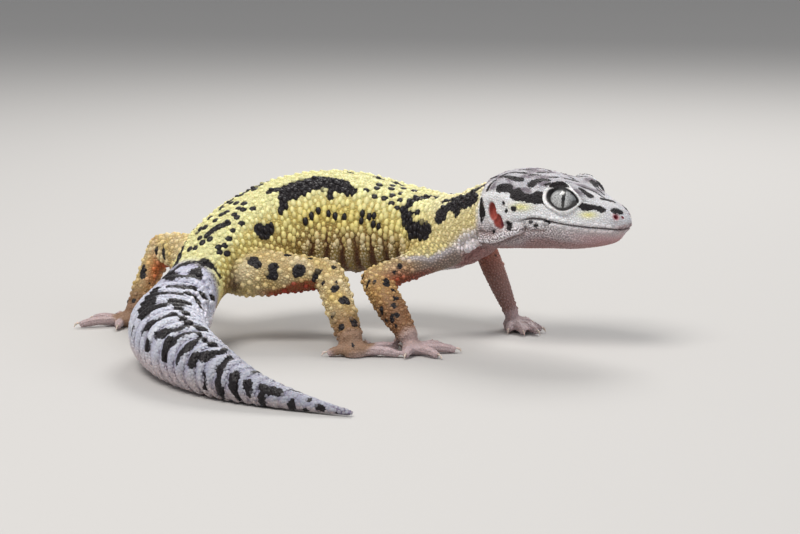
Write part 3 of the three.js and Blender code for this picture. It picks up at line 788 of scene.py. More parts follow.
# %% Spots on the legs, by place along the leg, turn round it and radius
LEG_SPOTS = {
    "hind_right": [(0.15, 44, 1.15), (0.21, 32, 0.8), (0.39, 27, 1.0), (0.38, 6, 1.15), (0.68, 20, 1.3),
                   (0.9, -4, 1.15), (0.95, 3, 1.05), (0.53, 82, 0.6), (0.79, 78, 0.45), (1.05, 94, 0.5),
                   (1.39, 68, 0.75),
                   (1.58, 93, 1.05), (1.9, 116, 0.9), (1.93, 41, 0.65), (2.2, 72, 0.7), (1.3, 85, 0.35),
                   (1.22, 30, 0.4), (1.72, 20, 0.4)],
    "hind_left": [(0.74, 174, 0.8), (0.78, -174, 0.9), (0.78, -160, 0.8), (0.52, 160, 0.8), (0.52, 173, 1.0),
                  (0.51, -171, 0.9), (1.43, 76, 0.6), (1.5, 86, 0.8), (1.57, 96, 0.85), (1.72, 86, 0.3),
                  (1.96, 97, 0.6), (1.64, 146, 0.3), (0.4, 60, 1.0), (0.7, 30, 1.1), (1.1, 10, 0.9),
                  (1.6, 20, 0.6)],
    "front_right": [(1.07, 20, 0.35), (1.12, 44, 0.3), (1.1, 0, 0.32), (1.15, 92, 0.7), (1.25, 84, 0.62),
                    (0.76, 166, 0.36), (0.68, 151, 0.44), (1.51, 80, 0.48), (1.61, 61, 0.58),
                    (1.53, 6, 0.42), (1.58, -6, 0.3), (1.76, 52, 0.44), (1.77, 18, 0.5), (1.72, 30, 0.34),
                    (1.88, 16, 0.32), (1.7, -12, 0.36), (1.37, 95, 0.42), (1.32, -10, 0.3)],
    "front_left": [(0.9, 60, 0.5), (1.2, 80, 0.35), (1.5, 100, 0.3), (0.5, 80, 0.45)],
}


NEAR_TOP = 84  # strokes that pass this angle already lie on both sides


def other_side(strokes, shift, turn):
    """The same strokes on the side that faces away, moved along and round a little."""
    return [(half, *((a + shift, 180 - b + turn) for a, b in path)) for half, *path in strokes
            if all(b < NEAR_TOP for _, b in path)]


# %% The distance to the marks, on every skin point
mark = np.full(len(points), FAR)
body_all = BODY_STROKES + other_side(BODY_STROKES, 1.6, 6)
spine_part = on_body | on_tail
mark[spine_part] = stroke_distance(station[spine_part], girth[spine_part], reach[spine_part], body_all)
tail_warp = smooth_curve(TAIL_WARP)
tail_all = []
for half, *path in TAIL_STROKES:
    wider = 0.1 if path[0][0] > -18 else 0.1 + 0.15 * half + 0.06
    tail_all.append((half + wider, *((float(tail_warp(s)), g) for s, g in path)))
tail_mark = stroke_distance(tail_warp(station[spine_part]), girth[spine_part], reach[spine_part], tail_all)
mark[spine_part] = np.minimum(mark[spine_part], tail_mark)
crown_wide = [(half + 0.12 * (path[0][1] > 38), *path) for half, *path in HEAD_STROKES]
head_all = crown_wide + other_side(crown_wide, 0.4, 3)
near_head = on_head | (on_body & (station > 58))
head_mark = stroke_distance(back[near_head], head_angle[near_head], head_reach[near_head], head_all)
mark[near_head] = np.where(on_head[near_head], head_mark, np.minimum(mark[near_head], head_mark))
leg_along = {}
for leg, spots in LEG_SPOTS.items():
    part = is_any(owner, *(f"{bone}_{leg}" for bone in LIMB + FOOT))
    along, turn, leg_reach = on_leg(points[part], leg)
    leg_along[leg] = (part, along, turn, leg_reach)
    bones = np.linalg.norm(np.diff(LEGS[leg], axis=0), axis=1)
    nearest = np.full(part.sum(), FAR)
    if "right" in leg:
        spots = [(*spot, radius + 0.15) for *spot, radius in spots]
    for spot_along, spot_turn, radius in spots:
        x = (along - spot_along) * bones[int(spot_along > 1)]
        y = arc(degrees_between(turn, spot_turn), leg_reach)
        nearest = np.minimum(nearest, np.hypot(x, y) - radius)
    mark[part] = nearest
print("points inside a mark:", int((mark < 0).sum()))

# %% [markdown]
# ## Ground colours
#
# Under the marks the colour changes slowly: lemon on the back, straw and brown low on the flank,
# white with a breath of lavender on the tail and head, sand on the legs, pink below. It is worked
# out from the same coordinates. The skin between the scales is darker: partly a browner colour of
# its own, partly painted shade. Painted shade also lies in folds, creases and grooves, on the lower
# head, throat and upper arm, and a painted highlight lies on each ring of the tail.

# %% Colour helpers
def linear(red, green, blue):
    """A colour as seen on a screen, 0 to 255, as linear light."""
    value = np.array([red, green, blue]) / 255
    return np.where(value <= 0.04045, value / 12.92, ((value + 0.055) / 1.055) ** 2.4)


def blend(base, colour, amount):
    """The base with an amount of a colour, from 0 to 1 at each point, laid over it."""
    return base + (colour - base) * np.asarray(amount)[:, None]


def painted(base, *coats):
    """Lays coats, each a colour and its amount, over a base or one plain colour."""
    base = np.tile(base, (len(coats[0][1]), 1)) if base.ndim == 1 else base
    for colour, amount in coats:
        base = blend(base, colour, amount)
    return base


def ripple(points, size, seed):
    """A slow, seeded, cloudy wave over the body, from -1 to 1."""
    rng = np.random.default_rng(seed)
    total = np.zeros(len(points))
    for _ in range(6):
        way = rng.normal(size=3)
        way *= 2 * math.pi / size / np.linalg.norm(way)
        total += np.sin(points @ way + rng.uniform(0, 2 * math.pi))
    return total / 3


LEMON = linear(236, 230, 170)
GOLD = linear(224, 206, 122)
STRAW = linear(214, 184, 112)
UMBER = linear(104, 68, 34)
ROSE_BROWN = linear(118, 78, 66)
PINK = linear(226, 198, 188)
CREAM = linear(236, 222, 190)
LAVENDER = linear(178, 176, 198)
GOLD_SHADE = linear(180, 156, 76)
# painted shade, brown: in the flank's fold grooves, under the tail's root and along the belly's edge
SHADE_BROWN = linear(104, 62, 44)
FOLD_CREAM = linear(218, 202, 168)
TAIL_SHADE = linear(112, 104, 126)
# the tail's white, partly a painted highlight on its rings
TAIL_WHITE_HIGHLIGHT = linear(218, 220, 227)
PEARL = linear(234, 232, 234)
LID_WHITE = linear(244, 242, 242)
HEAD_GREY = linear(184, 181, 188)
# the lips' grey, darkened with painted shade
LIP_GREY_SHADED = linear(184, 166, 168)
SAND = linear(222, 196, 126)
TAN = linear(194, 150, 90)
WRIST_BROWN = linear(128, 90, 68)
RUST = linear(168, 72, 40)
# the upper arm's grey, darkened with painted shade
ARM_GREY_SHADED = linear(166, 144, 142)
ARM_ROSE = linear(160, 78, 74)
SKIN_PINK = linear(188, 166, 167)
NOSTRIL_RED = linear(120, 32, 48)
EAR_RED = linear(178, 84, 74)
EAR_DARK = linear(136, 54, 68)
# painted shade, reddish, for the throat and under the jaw
THROAT_SHADE = linear(132, 66, 54)
FOLD_WHITE = linear(238, 230, 234)
CHIN_ROSE = linear(192, 146, 148)
CROWN_SHADE = linear(126, 117, 126)
SNOUT_RED = linear(112, 62, 64)
PALE_YELLOW = linear(226, 218, 128)
JAW_ROSE = linear(158, 112, 108)
NOSTRIL_PINK = linear(200, 140, 146)
# painted shade for the mouth's groove
MOUTH_SHADE = linear(60, 40, 42)
ANKLE_RUST = linear(204, 96, 48)
THIGH_RED = linear(150, 46, 26)
FRONT_GAPS = linear(116, 70, 38)
HIND_GAPS = linear(138, 102, 52)
# painted shade for creases
CREASE_SHADE = linear(66, 26, 16)
# the lid's dark inner edge, partly painted shade
LID_EDGE_AND_SHADE = linear(12, 9, 11)

# %% Colour of the body's scales, and of the tail's
side_height = np.sin(np.radians(girth))  # 1 on the spine, -1 under the belly
cloud = ripple(points, 14, 3)
# painted shade low on the pelvis, under the root of the tail
shade_under_root = bump(station + 7.5, 4.5) * (1 - ramp(side_height, -0.35, 0.4))
white_top = np.interp(station, [44, 53, 57, 60], [-0.75, -0.6, -0.2, 0.1])
tone = painted(
    LEMON,
    (GOLD, (1 - ramp(side_height, 0.35, 0.75)) * (0.75 + 0.25 * cloud)),
    (STRAW, (1 - ramp(side_height, -0.3, 0.2)) * 0.6),
    (ROSE_BROWN, (1 - ramp(side_height, -0.6, -0.25)) * 0.55 * (1 - ramp(station, 42, 46))),
    (PINK, 1 - ramp(side_height, -0.99, -0.9)),
    # painted shade under the tail's root
    (SHADE_BROWN, on_body * shade_under_root * 0.7),
    (CREAM, on_body * ramp(station, 46, 56) * 0.45),
    (FOLD_WHITE, on_body * ramp(station, 44, 50) * (1 - ramp(side_height - white_top, -0.3, 0))),
)
tail_tone = painted(
    LAVENDER,
    # the tail's own white, with a painted highlight where each ring swells before its rear edge
    (TAIL_WHITE_HIGHLIGHT, ring_share**1.5 * (0.8 + 0.2 * cloud)),
    (PINK, (1 - ramp(side_height, -0.5, 0.1)) * 0.5),
)
tail_tone = tail_tone * (1 - 0.36 * ramp(-station, 42, 80))[:, None]
tail_share = ramp(-station, 10.5, 13.5)
tone = blend(tone, tail_tone, tail_share * (on_tail | on_body))
print("body and tail coloured")

# %% Colour of the skin between them, darkened with painted shade, and of the folds, with painted shade in their grooves
forward_part = ramp(station, 42, 50)
folded = on_body * low_flank * along_flank
brown = ramp(side_height, -0.5, -0.1) * (1 - ramp(side_height, 0.05, 0.45)) * (1 - tail_share)
# between the scales the skin is darker: painted shade, over its own gold and brown
crevice_with_shade = painted(
    tone * 0.8,
    (GOLD_SHADE, on_body * (1 - ramp(side_height, 0.55, 0.85)) * (1 - tail_share) * 0.8),
    (UMBER, on_body * brown * 0.58 * (1 - forward_part)),
    # painted shade in the grooves between the flank's folds
    (SHADE_BROWN, folded * (0.5 - 0.5 * ribs)),
)
tone = painted(
    tone,
    (FOLD_CREAM, folded * ramp(ribs, -0.5, 0.5) * 0.8),
    # painted shade in the fold grooves
    (SHADE_BROWN, folded * ramp(-ribs, 0.3, 0.95) * 0.8),
)
crevice_with_shade = blend(crevice_with_shade, tone * 0.75, on_body * forward_part * 0.7)
# painted shade along the edge of the belly
tone = blend(tone, SHADE_BROWN, on_body * along_flank * bump(side_height + 0.93, 0.24) * 0.7)
crevice_with_shade = np.where(on_tail[:, None], tone * 0.95, crevice_with_shade)
# painted shade in the grooves between the tail's rings
groove_shade = np.maximum(1 - ramp(ring_share, 0.02, 0.16), ramp(ring_share, 0.93, 0.99))
groove_shade = on_tail * groove_shade * tail_share
crevice_with_shade = blend(crevice_with_shade, TAIL_SHADE, groove_shade)
tone = blend(tone, TAIL_SHADE, groove_shade * 0.4)
print("grooves and folds coloured")

# %% Colour of the head
crown_cloud = ramp(ripple(points, 3.2, 9), -0.1, 0.7) * ramp(height, 31.5, 33.5)
# painted shade on the snout, above the mouth
snout_shade = (1 - ramp(back, 3, 9)) * ramp(above_mouth, 0, 1.5)
snout_red = (1 - ramp(back, 0.2, 2.8)) * bump(above_mouth - 0.3, 0.8)
yellow = bump(back - 6.4, 1.5) * bump(height - 28.8, 0.7) + bump(back - 19.8, 2) * bump(height - 30, 0.8)
jaw_under = ramp(-above_mouth - 1.2 - 0.15 * back, 0, 1.3) * (1 - ramp(back, 18, 24))
second_spot = np.sqrt((back - 0.45) ** 2 + (height - 28.5) ** 2 + (side - 2.2) ** 2)
# painted shade in the groove of the mouth
mouth_line_shade = mouth_fade * bump(above_mouth, 0.2 + 0.1 * ramp(back, 12, 15))
head_tone = painted(
    PEARL,
    (HEAD_GREY, ramp(height, 32.5, 35) * 0.85 + 0.12 * cloud),
    (CROWN_SHADE, crown_cloud),
    # the lips' own grey, darkened as painted shade towards the bottom of the head
    (LIP_GREY_SHADED, (1 - ramp(height, 23.5, 28.5)) * 0.9),
    # painted shade under the jaw, reddish
    (THROAT_SHADE, (1 - ramp(height, 20, 22)) * 0.6),
    # painted shade below the collar fold
    (ROSE_BROWN, bump(collar_gap - 1.5, 0.5) * (1 - ramp(height, 23, 26)) * 0.6),
    (CHIN_ROSE, (1 - ramp(back, 4, 12)) * (1 - ramp(above_mouth, -2.4, -0.6)) * 0.75),
    # painted shade on the snout
    (HEAD_GREY, snout_shade * 0.5),
    (SNOUT_RED, snout_red * 0.75),
    (PALE_YELLOW, np.clip(yellow, 0, 1) * 0.85),
    (JAW_ROSE, jaw_under * 0.65),
    (NOSTRIL_PINK, (1 - ramp(nostril_gap, 0.7, 1.1)) * 0.7),
    (NOSTRIL_RED, 1 - ramp(nostril_gap, 0.5, 0.78)),
    (NOSTRIL_RED, 1 - ramp(second_spot, 0.3, 0.6)),
    (EAR_RED, 1 - ramp(ear_gap, 0.8, 1.0)),
    (EAR_DARK, (1 - ramp(lobe_gaps[1], 0.6, 0.9)) * (1 - ramp(back, 24.6, 25.2))),
    # painted shade in the mouth's groove
    (MOUTH_SHADE, mouth_line_shade * 0.95),
    # painted shade in the fold along the jaw
    (ROSE_BROWN, bump(jaw_fold, 0.25) * 0.6),
)
tone = np.where(on_head[:, None], head_tone, tone)
# painted shade on the throat below the collar fold, reddish
shaded_throat = on_body * ramp(station, 53, 57) * (1 - ramp(side_height, -0.66, -0.54)) * ramp(collar_gap, 0.8, 1.3)
tone = painted(tone, (FOLD_WHITE, bump(collar_gap, 0.9) * 0.95), (THROAT_SHADE, shaded_throat * 0.85))
crevice_with_shade = blend(crevice_with_shade, tone * 0.8, np.maximum(shaded_throat, on_body * bump(collar_gap, 1.5)))
# painted shade between the granules, deepest under the jaw
jaw_shade = (1 - ramp(above_mouth, -1.5, -0.5)) * ramp(back, 8, 14)
crevice_with_shade = np.where(on_head[:, None], head_tone * (0.78 - 0.3 * jaw_shade)[:, None], crevice_with_shade)
print("head coloured")

# %% Colour of one leg
def leg_colour(leg, part, along, turn, leg_reach):
    """The scales' colour on a leg, from its root to its toes."""
    front = leg.startswith("front")
    inside = 1 - ramp(np.abs(degrees_between(turn, -100 if "right" in leg else -80)), 45, 72)
    inside = inside * ramp(along, 0.1, 0.4)
    colour = painted(
        SAND,
        (CREAM, 0.3 + 0.25 * ripple(points[part], 5, 7)),
        (RUST, inside * (1 - ramp(along, 1.1, 1.6)) * 0.95),
    )
    if leg == "hind_left":
        patch = bump(along - 1.38, 0.34) * bump(degrees_between(turn, 155), 48)
        colour = blend(colour, ANKLE_RUST, patch * 0.95)
    if leg == "hind_right":  # the red wedge under the thigh, widest by the knee
        limit = np.interp(along, [0.25, 0.45, 0.6, 0.75, 0.95, 1.05, 1.2],
                          [-75, -42, -20, -13, -15, -30, -75])
        wedge = ramp(limit - turn, -6, 6) * (turn > -170) * ramp(along, 0.2, 0.4)
        colour = blend(colour, THIGH_RED, wedge * (1 - ramp(along, 1.1, 1.4)) * 0.95)
    if front:
        elbow_patch = bump(along - 0.78, 0.3) * bump(degrees_between(turn, -155), 58)
        colour = painted(
            colour,
            (TAN, ramp(along, 0.8, 1.2) * 0.8),
            (WRIST_BROWN, ramp(along, 1.2, 1.7) * 0.8),
            (RUST, elbow_patch * 0.95),
        )
    else:
        colour = blend(colour, WRIST_BROWN, ramp(along, 1.5, 1.95) * 0.9)
    # the upper arm's own grey, darkened as painted shade
    colour = blend(colour, ARM_GREY_SHADED, (1 - ramp(along, 0.25, 0.8)) * (0.85 - 0.5 * inside) * front)
    if leg == "front_left":
        far_arm = painted(ARM_ROSE, (SKIN_PINK, 0.7 * ramp(along, 0.9, 1.7)))
        inward = 1 - ramp(np.abs(degrees_between(turn, 35)), 100, 130)
        colour = blend(colour, far_arm, 0.9 * inward)
    toe_start = 2.4 if front else 4.6
    toes = on_foot[part] * ramp(leg_reach, toe_start, toe_start + 1.6)
    return painted(
        colour,
        (SKIN_PINK, np.maximum(toes, ramp(along, 1.93, 2.15) * 0.6 * front)),
        (SKIN_PINK, on_foot[part] * (0.3 if front else 0.1)),
    )


# %% Colour the four legs
on_shoulder = np.zeros(len(points))
# painted shade in the creases on the pelvis, beside the thigh
crease_shade = bump(station + 5.2, 1.8) * bump(girth + 8, 30) * on_body  # on the pelvis, beside the thigh
for leg, (part, along, turn, leg_reach) in leg_along.items():
    front = leg.startswith("front")
    colour = leg_colour(leg, part, along, turn, leg_reach)
    if leg == "front_right":  # the flank's yellow comes down over the shoulder, with white under it
        limit = np.interp(along, [-0.1, 0.05, 0.3, 0.42, 0.55, 0.7], [146, 150, 158, 134, 118, 80])
        over = np.abs(degrees_between(turn, 60)) - (limit - 60)
        on_shoulder[part] = (1 - ramp(over, -10, 8)) * (1 - ramp(along, 0.5, 0.7))
        colour = painted(
            colour,
            (FOLD_WHITE, (1 - ramp(over, 8, 34)) * (1 - ramp(along, 0.5, 0.75)) * 0.9),
            ((STRAW + LEMON) / 2, on_shoulder[part]),
        )
    # painted shade in the crease where the thigh leaves the pelvis
    if not front:  # a dark crease where the thigh leaves the pelvis
        crease = bump(along + 0.08, 0.09) * bump(degrees_between(turn, -22 if "right" in leg else 202), 34)
        crease_shade[part] = crease
    tone[part] = colour
    scaly = ramp(along, 0.4 * front, 0.4 * front + 0.3)
    # painted shade between the leg's scales, over the brown of the skin there
    gaps_with_shade = colour * (0.7 - 0.3 * front * (1 - ramp(along, 0.6, 1)))[:, None]
    gaps_with_shade = blend(gaps_with_shade, FRONT_GAPS if front else HIND_GAPS, 0.45 * scaly)
    crevice_with_shade[part] = np.where(on_foot[part][:, None], colour * 0.88, gaps_with_shade)
print("legs coloured")

# %% Soften the borders, then paint shade into the creases and colour the lids
blend_zone = relaxed((on_limb | on_head).astype(float), edges, 3)
zone = blend_zone * (1 - blend_zone) * 4
# painted shade in the creases, on scales and skin alike
tone = painted(tone, (relaxed(tone, edges, 6), zone), (CREASE_SHADE, crease_shade * 0.9))
crevice_with_shade = painted(crevice_with_shade, (relaxed(crevice_with_shade, edges, 6), zone), (CREASE_SHADE, crease_shade * 0.95))
ring_edge = 1.46 - 0.14 * ramp(-lid_ahead, 2.4, 4.2)
lid_pale = (1 - ramp(lid_share - ring_edge, 0, 0.1)) * ramp(lid_share, 1.11, 1.17)
tone = blend(tone, LID_WHITE, lid_pale * 0.95)
# the lid's dark inner edge, partly painted shade where the lid dives under the eyeball
crevice_with_shade = painted(crevice_with_shade, (LID_WHITE, lid_pale * 0.95), (LID_EDGE_AND_SHADE, 1 - ramp(lid_share, 1.11, 1.17)))
arch = lid_rise - 2.95 + 0.08 * (lid_ahead + 0.8) ** 2
upper_lid = np.hypot((lid_ahead + 1.1) / 2.7, arch / 0.62) - 1  # a dark patch on each upper lid
mark = np.where(lid_share < ring_edge, upper_lid, np.minimum(mark, upper_lid))
print("borders softened, lids coloured")

# %% Write marks and colours to the skin
def write_values(mesh, name, values):
    """A value or a colour for each point, for the finish to read."""
    if values.ndim == 1:
        layer = mesh.attributes.new(name, "FLOAT", "POINT")
        layer.data.foreach_set("value", values.astype(np.float32))
    else:
        layer = mesh.attributes.new(name, "FLOAT_COLOR", "POINT")
        full = np.ones((len(values), 4), np.float32)
        full[:, :3] = values
        layer.data.foreach_set("color", full.ravel())


write_values(skin.data, "mark", mark)
# the skin's colour is the darker one from between the scales, with its painted shade
write_values(skin.data, "tone", np.clip(crevice_with_shade, 0, 1))

# %% [markdown]
# ## The finish of skin and scales
#
# Skin and scales share one way of colouring. The ground colour comes from the points. A mark is
# black where its distance is below zero, with the edge frayed by a fine noise, so that it runs
# along scale borders instead of a drawn line. Only the skin carries a bump of fine grains.

# %% Node helpers
def new_finish(name):
    finish = bpy.data.materials.new(name)
    finish.use_nodes = True
    finish.node_tree.nodes.clear()
    return finish


def node(finish, kind, inputs=None, **settings):
    """A shader node; inputs are values, or sockets to link."""
    made = finish.node_tree.nodes.new(kind)
    for name, value in settings.items():
        setattr(made, name, value)
    for key, value in (inputs or {}).items():
        if isinstance(value, bpy.types.NodeSocket):
            finish.node_tree.links.new(value, made.inputs[key])
        else:
            made.inputs[key].default_value = value
    return made


def math_node(finish, operation, *values):
    return node(finish, "ShaderNodeMath", dict(enumerate(values)), operation=operation).outputs[0]


def mix_colours(finish, amount, first, second, blend_type="MIX"):
    """A mix of two colours; the numbers are the places of the colour sockets."""
    inputs = {0: amount, 6: first, 7: second}
    return node(finish, "ShaderNodeMix", inputs, data_type="RGBA", blend_type=blend_type).outputs[2]


def share_between(finish, value, low, high, most=1.0, kind="LINEAR"):
    """0 where a value is at low, and most where it is at high."""
    return node(finish, "ShaderNodeMapRange", {
        "Value": value, "From Min": low, "From Max": high, "To Max": most,
    }, interpolation_type=kind).outputs[0]


def surfaced(finish, inputs):
    """Gives a finish its surface."""
    surface = node(finish, "ShaderNodeBsdfPrincipled", inputs)
    node(finish, "ShaderNodeOutputMaterial", {"Surface": surface.outputs[0]})
    return finish


def noise(finish, size, detail=2.0, roughness=0.5):
    """Cloudy noise whose features are about size millimetres wide."""
    where = node(finish, "ShaderNodeTexCoord").outputs["Object"]
    return node(finish, "ShaderNodeTexNoise", {
        "Vector": where, "Scale": 1 / (size * MM), "Detail": detail, "Roughness": roughness,
    }).outputs["Fac"]


def four(colour):
    return (*[float(c) for c in colour], 1.0)


INK = four(linear(9, 5, 8))
INK_LIGHT = four(linear(26, 18, 24))


def scaly_finish(name, fray, roughness, grains):
    """The finish of skin or scales; fray is how ragged a mark's edge is, grains their width, in mm."""
    finish = new_finish(name)
    tone_read = node(finish, "ShaderNodeAttribute", attribute_name="tone").outputs["Color"]
    mark_read = node(finish, "ShaderNodeAttribute", attribute_name="mark").outputs["Fac"]
    shade = math_node(finish, "MULTIPLY_ADD", noise(finish, 0.7, 3), 0.5, 0.75)
    ground = mix_colours(finish, 1.0, tone_read, shade, "MULTIPLY")
    ragged = math_node(finish, "MULTIPLY_ADD", noise(finish, 0.5), fray * 2, -fray)
    edge = math_node(finish, "ADD", mark_read, ragged)
    inside = share_between(finish, edge, 0.12, -0.12, kind="SMOOTHSTEP")
    ink = mix_colours(finish, noise(finish, 0.6, 3), INK, INK_LIGHT)
    surface = {
        "Base Color": mix_colours(finish, inside, ground, ink), "Roughness": roughness,
        "Specular IOR Level": 0.35, "Subsurface Weight": 0.12, "Subsurface Scale": 0.6 * MM,
        "Subsurface Radius": (1.0, 0.45, 0.3),
    }
    if grains:
        where = node(finish, "ShaderNodeTexCoord").outputs["Object"]
        cells = node(finish, "ShaderNodeTexVoronoi", {
            "Vector": where, "Scale": 1 / (grains * MM),
        }).outputs["Distance"]
        lump = math_node(finish, "SUBTRACT", 1.0, cells)
        relief = node(finish, "ShaderNodeBump", {"Height": lump, "Distance": 0.12 * MM, "Strength": 0.7})
        surface["Normal"] = relief.outputs[0]
    return surfaced(finish, surface)


skin_finish = scaly_finish("gecko_skin", 0.3, 0.55, 0.42)
scale_finish = scaly_finish("gecko_scales", 0.04, 0.48, 0)
skin.data.materials.append(skin_finish)
only(skin)
bpy.ops.object.shade_smooth()
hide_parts(*flesh)
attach(skin, "root")
print("skin finished:", len(skin.data.polygons), "faces")

# %% [markdown]
# ## Scales
#
# A leopard gecko wears fine granules everywhere and larger tubercles among them on back, flanks,
# tail and legs. Each kind of scale is modelled once, as a low dome with a closed base. Random
# places are sown on the skin, and a rule picks the roots among them: columns down the flank, rows
# on the tail's rings, and elsewhere any place that keeps its distance from those picked before.

# %% Model each shape of scale once
def scale_shape(sides, *rings):
    """A dome with a closed base. The rings are (radius, height) from the base up, the tip last."""
    bpy.ops.object.select_all(action="DESELECT")
    bpy.ops.mesh.primitive_circle_add(vertices=sides, radius=rings[0][0], fill_type="NGON")
    shape = bpy.context.object
    bpy.ops.object.mode_set(mode="EDIT")
    bpy.ops.mesh.select_all(action="SELECT")
    bpy.ops.transform.translate(value=(0, 0, rings[0][1]))
    for (radius, height), (next_radius, next_height) in zip(rings[:-1], rings[1:]):
        bpy.ops.mesh.extrude_region_move(TRANSFORM_OT_translate={"value": (0, 0, next_height - height)})
        if next_radius == 0:
            bpy.ops.mesh.merge(type="CENTER")
        else:
            growth = next_radius / radius
            bpy.ops.transform.resize(value=(growth, growth, 1), center_override=(0, 0, next_height))
    bpy.ops.mesh.select_all(action="SELECT")
    bpy.ops.mesh.normals_make_consistent(inside=False)
    bpy.ops.mesh.quads_convert_to_tris()
    bpy.ops.object.mode_set(mode="OBJECT")
    corners = read_places(shape.data)
    faces = np.array([face.vertices[:] for face in shape.data.polygons])
    bpy.data.objects.remove(shape)
    return corners, faces


TUBERCLE = scale_shape(8, (1, -0.4), (0.97, 0.1), (0.62, 0.72), (0, 1))
PLATE = scale_shape(8, (1, -0.6), (0.82, 0.7), (0, 1))
GRANULE = scale_shape(6, (1, -0.6), (0.72, 0.62), (0, 1))
print("faces of a tubercle, plate and granule:", *(len(s[1]) for s in (TUBERCLE, PLATE, GRANULE)))

# %% Which way the scales lie
lie = np.column_stack([-spine_forward, np.zeros(len(points))])
lie[on_head] = -head_forward
for leg, (part, along, _, _) in leg_along.items():
    joints = np.array(LEGS[leg], float)
    lie[part] = np.where(along[:, None] < 1, joints[1] - joints[0], joints[2] - joints[1])
lie = relaxed(lie / np.linalg.norm(lie, axis=1)[:, None], edges, 8)
print("directions for", len(lie), "points")

# %% Sow the places
SOWN = 420_000
FINE_SHARE = 1.8  # head and feet get this many times more places

rng = np.random.default_rng(11)
skin.data.calc_loop_triangles()
corner = read_rows(skin.data.loop_triangles, "vertices", 3, int)
loop = read_rows(skin.data.loop_triangles, "loops", 3, int)
skin_map = read_rows(skin.data.uv_layers[0].data, "uv", 2)
a, b, c = (points[corner[:, i]] for i in range(3))
weight = np.linalg.norm(np.cross(b - a, c - a), axis=1)
weight = weight * np.where((on_head | on_foot)[corner[:, 0]], FINE_SHARE, 1)
sown_face = rng.choice(len(corner), SOWN, p=weight / weight.sum())
sown_share = rng.dirichlet((1, 1, 1), SOWN)  # of each corner of the face
close = corner[sown_face, sown_share.argmax(1)]


def sown(values):
    """A value or row for each point of the skin, carried over to the sown places."""
    at_corners = values.reshape(len(values), -1)[corner[sown_face]]
    return np.einsum("nck,nc->nk", at_corners, sown_share).squeeze()


def lengthened(rows):
    """Rows of three as directions of length one."""
    return rows / np.linalg.norm(rows, axis=1)[:, None]


root = sown(points)
root_normal = lengthened(sown(normals))
root_lie = sown(lie)
root_lie = lengthened(root_lie - root_normal * (root_lie * root_normal).sum(1)[:, None])
root_map = np.einsum("nck,nc->nk", skin_map[loop[sown_face]], sown_share)
root_mark, root_tone, root_crevice_with_shade = sown(mark), sown(tone), sown(crevice_with_shade)
root_tree = KDTree(SOWN)
for index, spot in enumerate(root):
    root_tree.insert(spot, index)
root_tree.balance()
print("sown", SOWN, "places")

# %% Keep the eyes, ears, nostrils, mouth and soles free of scales
# names that end in _ hold one value for each sown place
station_, girth_, reach_ = station[close], girth[close], reach[close]
side_, back_, height_ = girth_side[close], back[close], height[close]
above_mouth_, lids_ = above_mouth[close], lid_share[close]
head_, body_, leg_, foot_ = on_head[close], on_body[close], on_limb[close], on_foot[close]
right_ = np.abs(girth_) < 90
free = np.ones(SOWN, bool)
free[(lids_ < 1.2) | (ear_gap[close] < 1.0) | (nostril_gap[close] < 0.6)] = False
free[head_ & (np.abs(above_mouth_) < 0.2) & (back_ < 20)] = False
free[(root[:, 2] < 0.3) & (root_normal[:, 2] < -0.5)] = False
print(int(free.sum()), "places free")

# %% Pick roots that keep their distance
def around(roots, distance):
    """Which places lie within a distance of any of the roots."""
    distance = np.broadcast_to(distance, SOWN)
    covered = np.zeros(SOWN, bool)
    for index in roots:
        for _, near, _ in root_tree.find_range(root[index], distance[index]):
            covered[near] = True
    return covered


def pick(where, spacing, footprint):
    """Roots among the free places; then the ground that they cover is taken."""
    spacing = np.broadcast_to(spacing, SOWN)
    still = where & free
    chosen = []
    for index in np.flatnonzero(still):
        if still[index]:
            chosen.append(index)
            for _, near, _ in root_tree.find_range(root[index], spacing[index]):
                still[near] = False
    free[around(chosen, footprint)] = False
    return np.array(chosen, int)


# %% Make a piece from corners and triangles
def new_piece(name, places, triangles, finish):
    """A named, finished piece that rides on the one body."""
    mesh = bpy.data.meshes.new(name)
    mesh.vertices.add(len(places))
    write_places(mesh, to_model(places))
    mesh.loops.add(triangles.size)
    mesh.loops.foreach_set("vertex_index", triangles.ravel())
    mesh.polygons.add(len(triangles))
    mesh.polygons.foreach_set("loop_start", np.arange(0, triangles.size, 3))
    mesh.update(calc_edges=True)
    mesh.shade_smooth()
    mesh.materials.append(finish)
    piece = bpy.data.objects.new(name, mesh)
    bpy.context.collection.objects.link(piece)
    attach(piece, "root")
    return piece


# %% Copy one scale to every root
MOST_FACES = 190_000
MAP_PATCH = 0.0015  # half the width of a scale's patch in the map
LOWEST = 0.01  # no corner comes nearer to the floor than this


